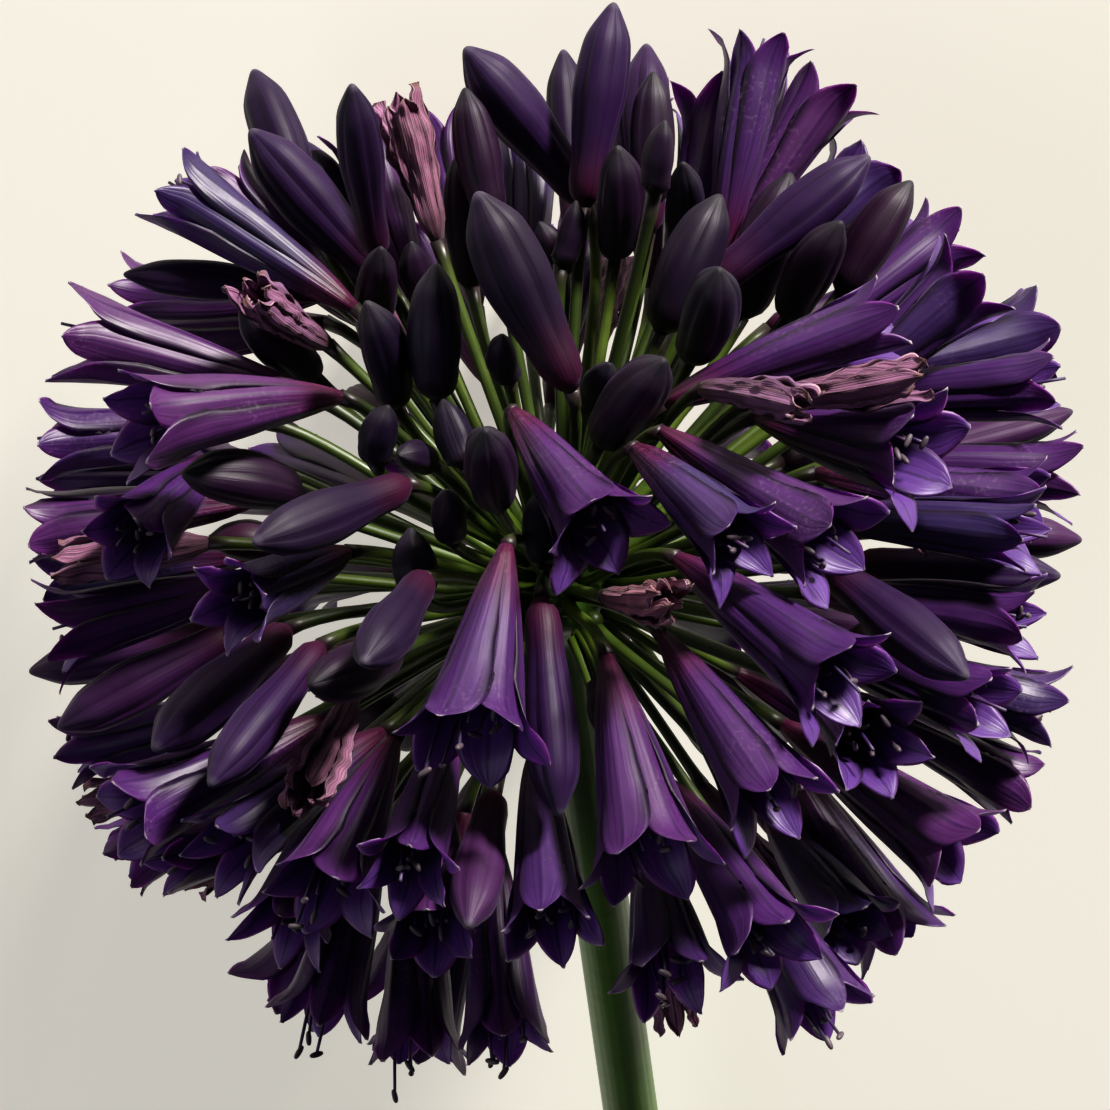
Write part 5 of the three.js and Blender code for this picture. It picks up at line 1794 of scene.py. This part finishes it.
@dataclass
class Pedicels:
    """The florets' green stalks, and the knots that they grow from."""

    leave: float = 0.35
    arrive: float = 0.25
    rows: int = 12
    columns: int = 8
    stops: tuple = (0.0, 0.08, 0.4, 0.85, 1.0)
    radii: tuple = (1.3, 1.0, 0.95, 1.02, 1.35)
    knot_share: float = 0.95
    knot_rows: int = 9
    knot_columns: int = 10
    knot_along: float = 0.6
    seed: int = 41

    def _paths(self, umbel: Umbel) -> tuple[Array, Array]:
        """Each pedicel's curve and its tangents.

        The curve is the cubic Bezier that leaves the knot between straight out and straight to
        the floret, and arrives between the floret's own direction and straight on.

        Args:
            umbel: the head.
        Returns:
            Points and unit tangents, both (florets, rows, 3).
        """
        root, base = umbel.root, umbel.base
        run = np.linalg.norm(base - root, axis=1, keepdims=True)
        way = unit(base - root)
        leaving = unit(unit(root) + way)
        arriving = unit(umbel.axis + way)
        after, before = root + self.leave * run * leaving, base - self.arrive * run * arriving
        corners = np.stack([root, after, before, base])
        t = np.linspace(0.0, 1.0, self.rows)
        weights = np.stack([(1 - t) ** 3, 3 * t * (1 - t) ** 2, 3 * t**2 * (1 - t), t**3])
        slopes = np.stack([-3 * (1 - t) ** 2, 3 * (1 - t) * (1 - 3 * t), 3 * t * (2 - 3 * t), 3 * t**2])
        path = np.einsum("kr,kfx->frx", weights, corners)
        return path, unit(np.einsum("kr,kfx->frx", slopes, corners))

    def build(self, umbel: Umbel, finish: Material) -> Object:
        """Makes the piece: a round stalk along each curve, and a ball at each knot.

        Args:
            umbel: the head.
            finish: its material.
        Returns:
            The piece.
        """
        rng = np.random.default_rng(self.seed)
        path, tangent = self._paths(umbel)
        side, other = square_to(tangent, umbel.hint[:, None])
        t = np.linspace(0.0, 1.0, self.rows)
        radius = np.broadcast_to(eased(self.stops, self.radii, t), path.shape[:2])
        rings, ends = tube(path, side, other, radius, self.columns)
        across = np.arange(self.columns) * 2.0 / self.columns - 1.0
        tone = rng.uniform(-1.0, 1.0, (len(path), 1, 1))
        stalks = Skin.of(rings, ends, np.abs(across), t[:, None], tone)
        piece = Piece("pedicels", "pedicels", umbel.cyme_nodes(np.arange(len(umbel.kind))))
        return make_piece(piece, umbel, [stalks, self._knots(umbel)], finish)

    def _knots(self, umbel: Umbel) -> Skin:
        """A ball at each knot: rings of radius r sin a at r cos a out from the knot's middle.

        Args:
            umbel: the head.
        Returns:
            One skin for each knot that carries florets.
        """
        knots = umbel.knots[np.unique(umbel.cyme)]
        a = ball_angles(self.knot_rows)
        size = SIZES.knot_radius * self.knot_share
        heights, radii = size * np.cos(a), size * np.sin(a)
        hint = SIZES.pole + OFF_AXIS
        rings, ends = turned(knots, unit(knots), hint, heights, radii, self.knot_columns)
        return Skin.of(rings, ends, OFF_RIB, self.knot_along, np.zeros((len(knots), 1, 1)))


@dataclass
class Stamens:
    """Six stamens and a style in each open flower."""

    start: float = 0.4
    end: tuple = (0.72, 0.92)
    style_longer: float = 0.1
    style_off_middle: float = 0.4
    wall_radius: float = 2.5
    wall_share: float = 0.05
    spread: tuple = (0.08, 0.2)
    swing: float = 0.25
    bow: float = 1.2
    hang_below: float = -0.75
    hang_share: float = 0.45
    hang_out: float = 0.2
    hanging: int = 3
    filament_radius: float = 0.36
    foot_share: float = 1.15
    taper: float = 0.4
    anther_length: float = 2.5
    anther_radius: float = 0.5
    anther_follow: float = 0.6
    anther_fullness: float = 0.7
    anther_rows: int = 8
    anther_columns: int = 8
    anther_along: float = 0.5
    rows: int = 8
    columns: int = 6
    seed: int = 53

    def _paths(self, umbel: Umbel, flowers: Array, rng: Rng) -> Array:
        """The filaments' and styles' curves.

        With t from 0 to 1, a filament starts on the tube's wall and runs to its own end near
        the mouth. It bows sideways by up to bow millimetres as sin(pi t). Some of the flowers
        that point down have three that hang out.

        Args:
            umbel: the head.
            flowers: the open flowers.
            rng: the seeded draw.
        Returns:
            Points, (flowers, STALKS, rows, 3), with the style last.
        """
        t = np.linspace(0.0, 1.0, self.rows)
        count = len(flowers)
        end = rng.uniform(*self.end, (count, STALKS, 1))
        end[:, PARTS] += self.style_longer
        drops = umbel.axis[flowers, 1] < self.hang_below
        drops = drops & (rng.uniform(0.0, 1.0, count) < self.hang_share)
        end[:, :self.hanging] += self.hang_out * drops[:, None, None]
        along = self.start + (end - self.start) * t
        width = umbel.width[flowers][:, None, None]
        wall = self.wall_radius + self.wall_share * width
        out = width * rng.uniform(*self.spread, (count, STALKS, 1))
        radial = wall * (1.0 - t) + out * t
        radial[:, PARTS] *= self.style_off_middle
        swing = rng.uniform(-self.swing, self.swing, (count, STALKS, 1)) * t
        turn = (np.arange(STALKS) * TURN / PARTS)[None, :, None] + swing
        lateral = rng.uniform(-self.bow, self.bow, (count, STALKS, 1)) * np.sin(math.pi * t)
        return set_round(umbel, flowers, along, turn, radial, lateral)

    def build(self, umbel: Umbel, finish: Material) -> Object:
        """Makes the piece: thin stalks, with an anther across the end of each filament.

        Args:
            umbel: the head.
            finish: its material.
        Returns:
            The piece.
        """
        rng = np.random.default_rng(self.seed)
        flowers = umbel.of(Kind.OPEN)
        path = self._paths(umbel, flowers, rng).reshape(-1, self.rows, 3)
        tangent = unit(np.gradient(path, axis=1))
        hint = np.repeat(umbel.hint[flowers], STALKS, axis=0)[:, None]
        side, other = square_to(tangent, hint + OFF_AXIS)
        t = np.linspace(0.0, 1.0, self.rows)
        thinning = self.filament_radius * (self.foot_share - self.taper * t)
        rings, ends = tube(path, side, other, np.broadcast_to(thinning, path.shape[:2]), self.columns)
        tone = rng.uniform(-1.0, 1.0, (len(path), 1, 1))
        stalks = Skin.of(rings, ends, OFF_RIB, t[:, None], tone)
        by_flower = (len(flowers), STALKS, self.rows, 3)
        both = (part.reshape(by_flower) for part in (path, tangent))
        tips, ways = (part[:, :PARTS, -1].reshape(-1, 3) for part in both)
        piece = Piece("stamens", "stamens", umbel.cyme_nodes(flowers))
        return make_piece(piece, umbel, [stalks, self._anthers(tips, ways, rng)], finish)

    def _anthers(self, tips: Array, ways: Array, rng: Rng) -> Skin:
        """Grains set slantwise on the filaments' ends.

        With half the anther's length h, a ring of radius r (sin a)^fullness stands h cos a along
        from the filament's end.

        Args:
            tips: the filaments' ends.
            ways: the filaments' directions there.
            rng: the seeded draw.
        Returns:
            One skin for each anther.
        """
        slant = unit(ways * self.anther_follow + rng.normal(size=ways.shape))
        a = ball_angles(self.anther_rows)
        half = self.anther_length / 2.0
        radii = self.anther_radius * np.sin(a) ** self.anther_fullness
        rings, _ = turned(tips, slant, ways, half * np.cos(a), radii, self.anther_columns)
        ends = np.stack([tips - slant * half, tips + slant * half], axis=1)
        tone = rng.uniform(-1.0, 1.0, (len(tips), 1, 1))
        return Skin.of(rings, ends, OFF_RIB, self.anther_along, tone, 1.0)


@dataclass
class Scape:
    """The leafless stalk, with the receptacle on its top and a clean cut at its foot.

    stops are heights along the pole from the hub, with the radii there. cut_face gives the cut
    from near its middle out, as heights over the foot and radii, and its first cut_rows rings
    are bare flesh. The stalk starts cut_reach up, and the receptacle at receptacle_from degrees
    from the pole.
    """

    columns: int = 48
    stops: tuple = (-SIZES.scape_length, -210.0, -140.0, -80.0, -29.4, -14.0, -9.5, -5.94)
    radii: tuple = (SIZES.scape_foot_radius, 5.6, 5.35, 5.1, SIZES.scape_neck_radius, 5.0, 5.3, 5.94)
    cut_face: tuple = ((0.7, 2.6), (0.5, 4.4), (0.0, 4.9), (0.0, 5.55), (0.3, SIZES.scape_foot_radius))
    cut_middle: float = 0.05
    cut_rows: int = 4
    cut_reach: float = 1.0
    rows: int = 70
    receptacle_from: float = 135.0
    receptacle_rows: int = 14
    rib: float = 0.006
    ribs: int = 16
    bulges: int = 5
    bulge_share: float = 0.8

    def build(self, umbel: Umbel, finish: Material) -> Object:
        """Makes the piece.

        Along the pole from the foot up the radius follows the cut, then the stops, then the
        receptacle's sphere. Round the stalk it swells by rib times cos (ribs v) and
        cos (bulges v + 1).

        Args:
            umbel: the head.
            finish: its material.
        Returns:
            The piece.
        """
        size = SIZES.receptacle_radius
        cut_height, cut_radius = np.array(self.cut_face).T
        cut_height = self.stops[0] + cut_height
        stalk = np.linspace(self.stops[0] + self.cut_reach, self.stops[-1], self.rows)
        polar = np.radians(np.linspace(self.receptacle_from, 0.0, self.receptacle_rows)[1:-1])
        height = np.concatenate([cut_height, stalk, size * np.cos(polar)])
        radius = np.concatenate([cut_radius, eased(self.stops, self.radii, stalk), size * np.sin(polar)])
        v = np.arange(self.columns) * TURN / self.columns
        swell = np.cos(self.ribs * v) + self.bulge_share * np.cos(self.bulges * v + 1.0)
        grown = radius[:, None] * (1.0 + self.rib * swell)
        rings, _ = turned(np.zeros((1, 3)), SIZES.pole[None], X_AXIS, height, grown, self.columns)
        ends = np.stack([SIZES.pole * (cut_height[0] + self.cut_middle), SIZES.pole * size])[None]
        along = (height - height.min()) / (height.max() - height.min())
        face = np.zeros(len(height))
        face[:self.cut_rows] = 1.0
        across = 2.0 * v / TURN - 1.0
        skin = Skin.of(rings, ends, across, along[:, None], np.zeros((1, 1, 1)), face[:, None])
        return make_piece(Piece("flower_scape", "scape", ["scape"]), umbel, [skin], finish)


# ---------------- the studio


@dataclass(frozen=True)
class Lamp:
    """A square area lamp that faces the hub.

    way is the direction that it stands in, in the head frame. power is in watts and size, the
    lamp's side, in metres.
    """

    name: str
    way: tuple
    power: float
    size: float
    colour: Colour


@dataclass
class Studio:
    """A pale floor, soft lamps and the camera, in metres unless a name says otherwise."""

    lamps: tuple = (
        Lamp("key_lamp", (0.46, 0.7, 0.545), 119.0, 0.32, (1.0, 0.96, 0.9)),
        Lamp("fill_lamp", (-0.72, -0.4, 0.55), 11.0, 2.0, (0.86, 0.88, 1.0)),
    )
    lamp_distance: float = 2.4
    floor_size: float = 14.0
    floor_colour: str = "e6e2d6"
    floor_patches: str = "cfd2cf"
    patch_scale: float = 6.0
    patch_share: float = 0.12
    floor_rough: float = 0.95
    floor_gloss: float = 0.05
    floor_glow: float = 0.53
    sky: float = 0.02
    sky_colour: Colour = (0.66, 0.68, 1.0)
    backdrop: float = 0.62
    backdrop_colour: Colour = (0.95, 0.95, 0.92)
    view: str = "Standard"
    contrast: str = "Medium High Contrast"
    frame_pixels: float = 1110.0
    pixels_per_mm: float = 6.0
    hub_pixel: tuple = (557.0, 588.0)
    sensor_width_mm: float = 36.0
    farthest_seen: float = 20.0

    def build(self, umbel: Umbel) -> None:
        """Makes the floor, the lamps, the sky and the camera.

        Args:
            umbel: the head that they are set round.
        """
        self._floor()
        for lamp in self.lamps:
            self._lamp(umbel, lamp)
        self._world()
        bpy.context.scene.view_settings.view_transform = self.view
        bpy.context.scene.view_settings.look = self.contrast
        self._camera(umbel)

    def _world(self) -> None:
        """A dim sky for light, with a paler backdrop where it is seen."""
        world = bpy.data.worlds.new("studio")
        world.use_nodes = True
        graph = Graph(world.node_tree)
        background = world.node_tree.nodes["Background"]
        seen = graph.add("ShaderNodeLightPath").outputs["Is Camera Ray"]
        graph.put(background.inputs["Color"], graph.mix(seen, self.sky_colour, self.backdrop_colour))
        graph.put(background.inputs["Strength"], graph.step(seen, 0.0, 1.0, self.sky, self.backdrop))
        bpy.context.scene.world = world

    def _floor(self) -> None:
        """A square sheet under the part, with a faintly uneven pale finish."""
        half = self.floor_size / 2.0
        corners = [(-half, -half, 0.0), (half, -half, 0.0), (half, half, 0.0), (-half, half, 0.0)]
        mesh = bpy.data.meshes.new("floor")
        mesh.from_pydata(corners, [], [(0, 1, 2, 3)])
        material = bpy.data.materials.new("pale_floor")
        material.use_nodes = True
        graph = Graph(material.node_tree)
        surface = material.node_tree.nodes["Principled BSDF"]
        patch = graph.math("MULTIPLY", graph.noise(self.patch_scale), self.patch_share)
        shade = graph.mix(patch, hexed(self.floor_colour), hexed(self.floor_patches))
        graph.put(surface.inputs["Base Color"], shade)
        surface.inputs["Roughness"].default_value = self.floor_rough
        surface.inputs["Specular IOR Level"].default_value = self.floor_gloss
        surface.inputs["Emission Color"].default_value = (*hexed(self.floor_colour), 1.0)
        surface.inputs["Emission Strength"].default_value = self.floor_glow
        mesh.materials.append(material)
        floor = bpy.data.objects.new("floor", mesh)
        bpy.context.scene.collection.objects.link(floor)

    def _lamp(self, umbel: Umbel, lamp: Lamp) -> None:
        """Sets one lamp up, facing the hub.

        Args:
            umbel: the head that it lights.
            lamp: what it is and where it stands.
        """
        light = bpy.data.lights.new(lamp.name, "AREA")
        light.energy = lamp.power
        light.size = lamp.size
        light.color = lamp.colour
        stand = bpy.data.objects.new(lamp.name, light)
        bpy.context.scene.collection.objects.link(stand)
        out = SIZES.axes @ unit(np.array(lamp.way))
        side, other = square_to(out, np.array([0.0, 0.0, 1.0]))
        place = Matrix(np.stack([side, other, out], axis=1).tolist()).to_4x4()
        place.translation = (umbel.hub * MM + out * self.lamp_distance).tolist()
        stand.matrix_world = place

    def _camera(self, umbel: Umbel) -> None:
        """A camera straight in front of the hub, in line with the head frame.

        The frame is as wide as its pixels at their size, at the hub's distance, and the lens is
        shifted so that the hub stands at its own pixel.

        Args:
            umbel: the head that it looks at.
        """
        camera = bpy.data.cameras.new("camera")
        camera.sensor_width = self.sensor_width_mm
        span = self.frame_pixels / self.pixels_per_mm
        camera.lens = camera.sensor_width * SIZES.sight_distance / span
        middle = self.frame_pixels / 2.0
        camera.shift_x = (middle - self.hub_pixel[0]) / self.frame_pixels
        camera.shift_y = (self.hub_pixel[1] - middle) / self.frame_pixels
        camera.clip_end = self.farthest_seen
        seat = bpy.data.objects.new("camera", camera)
        bpy.context.scene.collection.objects.link(seat)
        place = Matrix(SIZES.axes.tolist()).to_4x4()
        place.translation = ((umbel.hub + SIZES.axes[:, 2] * SIZES.sight_distance) * MM).tolist()
        seat.matrix_world = place
        bpy.context.scene.camera = seat


def main() -> None:
    """Builds the stem's pieces in order, then the studio."""
    logging.basicConfig(level=logging.INFO, format="%(name)s: %(message)s")
    umbel = Umbel()
    palette = Palette()
    log.info("%d florets in %d cymes", len(umbel.kind), len(np.unique(umbel.cyme)))
    Scape().build(umbel, SCAPE_GREEN.make(palette))
    Pedicels().build(umbel, PEDICEL_GREEN.make(palette))
    OpenFlowers().build(umbel, TEPALS.make(palette))
    ClosedFlowers().build(umbel, CLOSED.make(palette))
    Buds().build(umbel, BUDS.make(palette))
    FadedFlowers().build(umbel, FADED.make(palette))
    Stamens().build(umbel, STAMEN_FINISH.make(palette))
    Studio().build(umbel)


if __name__ == "__main__":
    main()
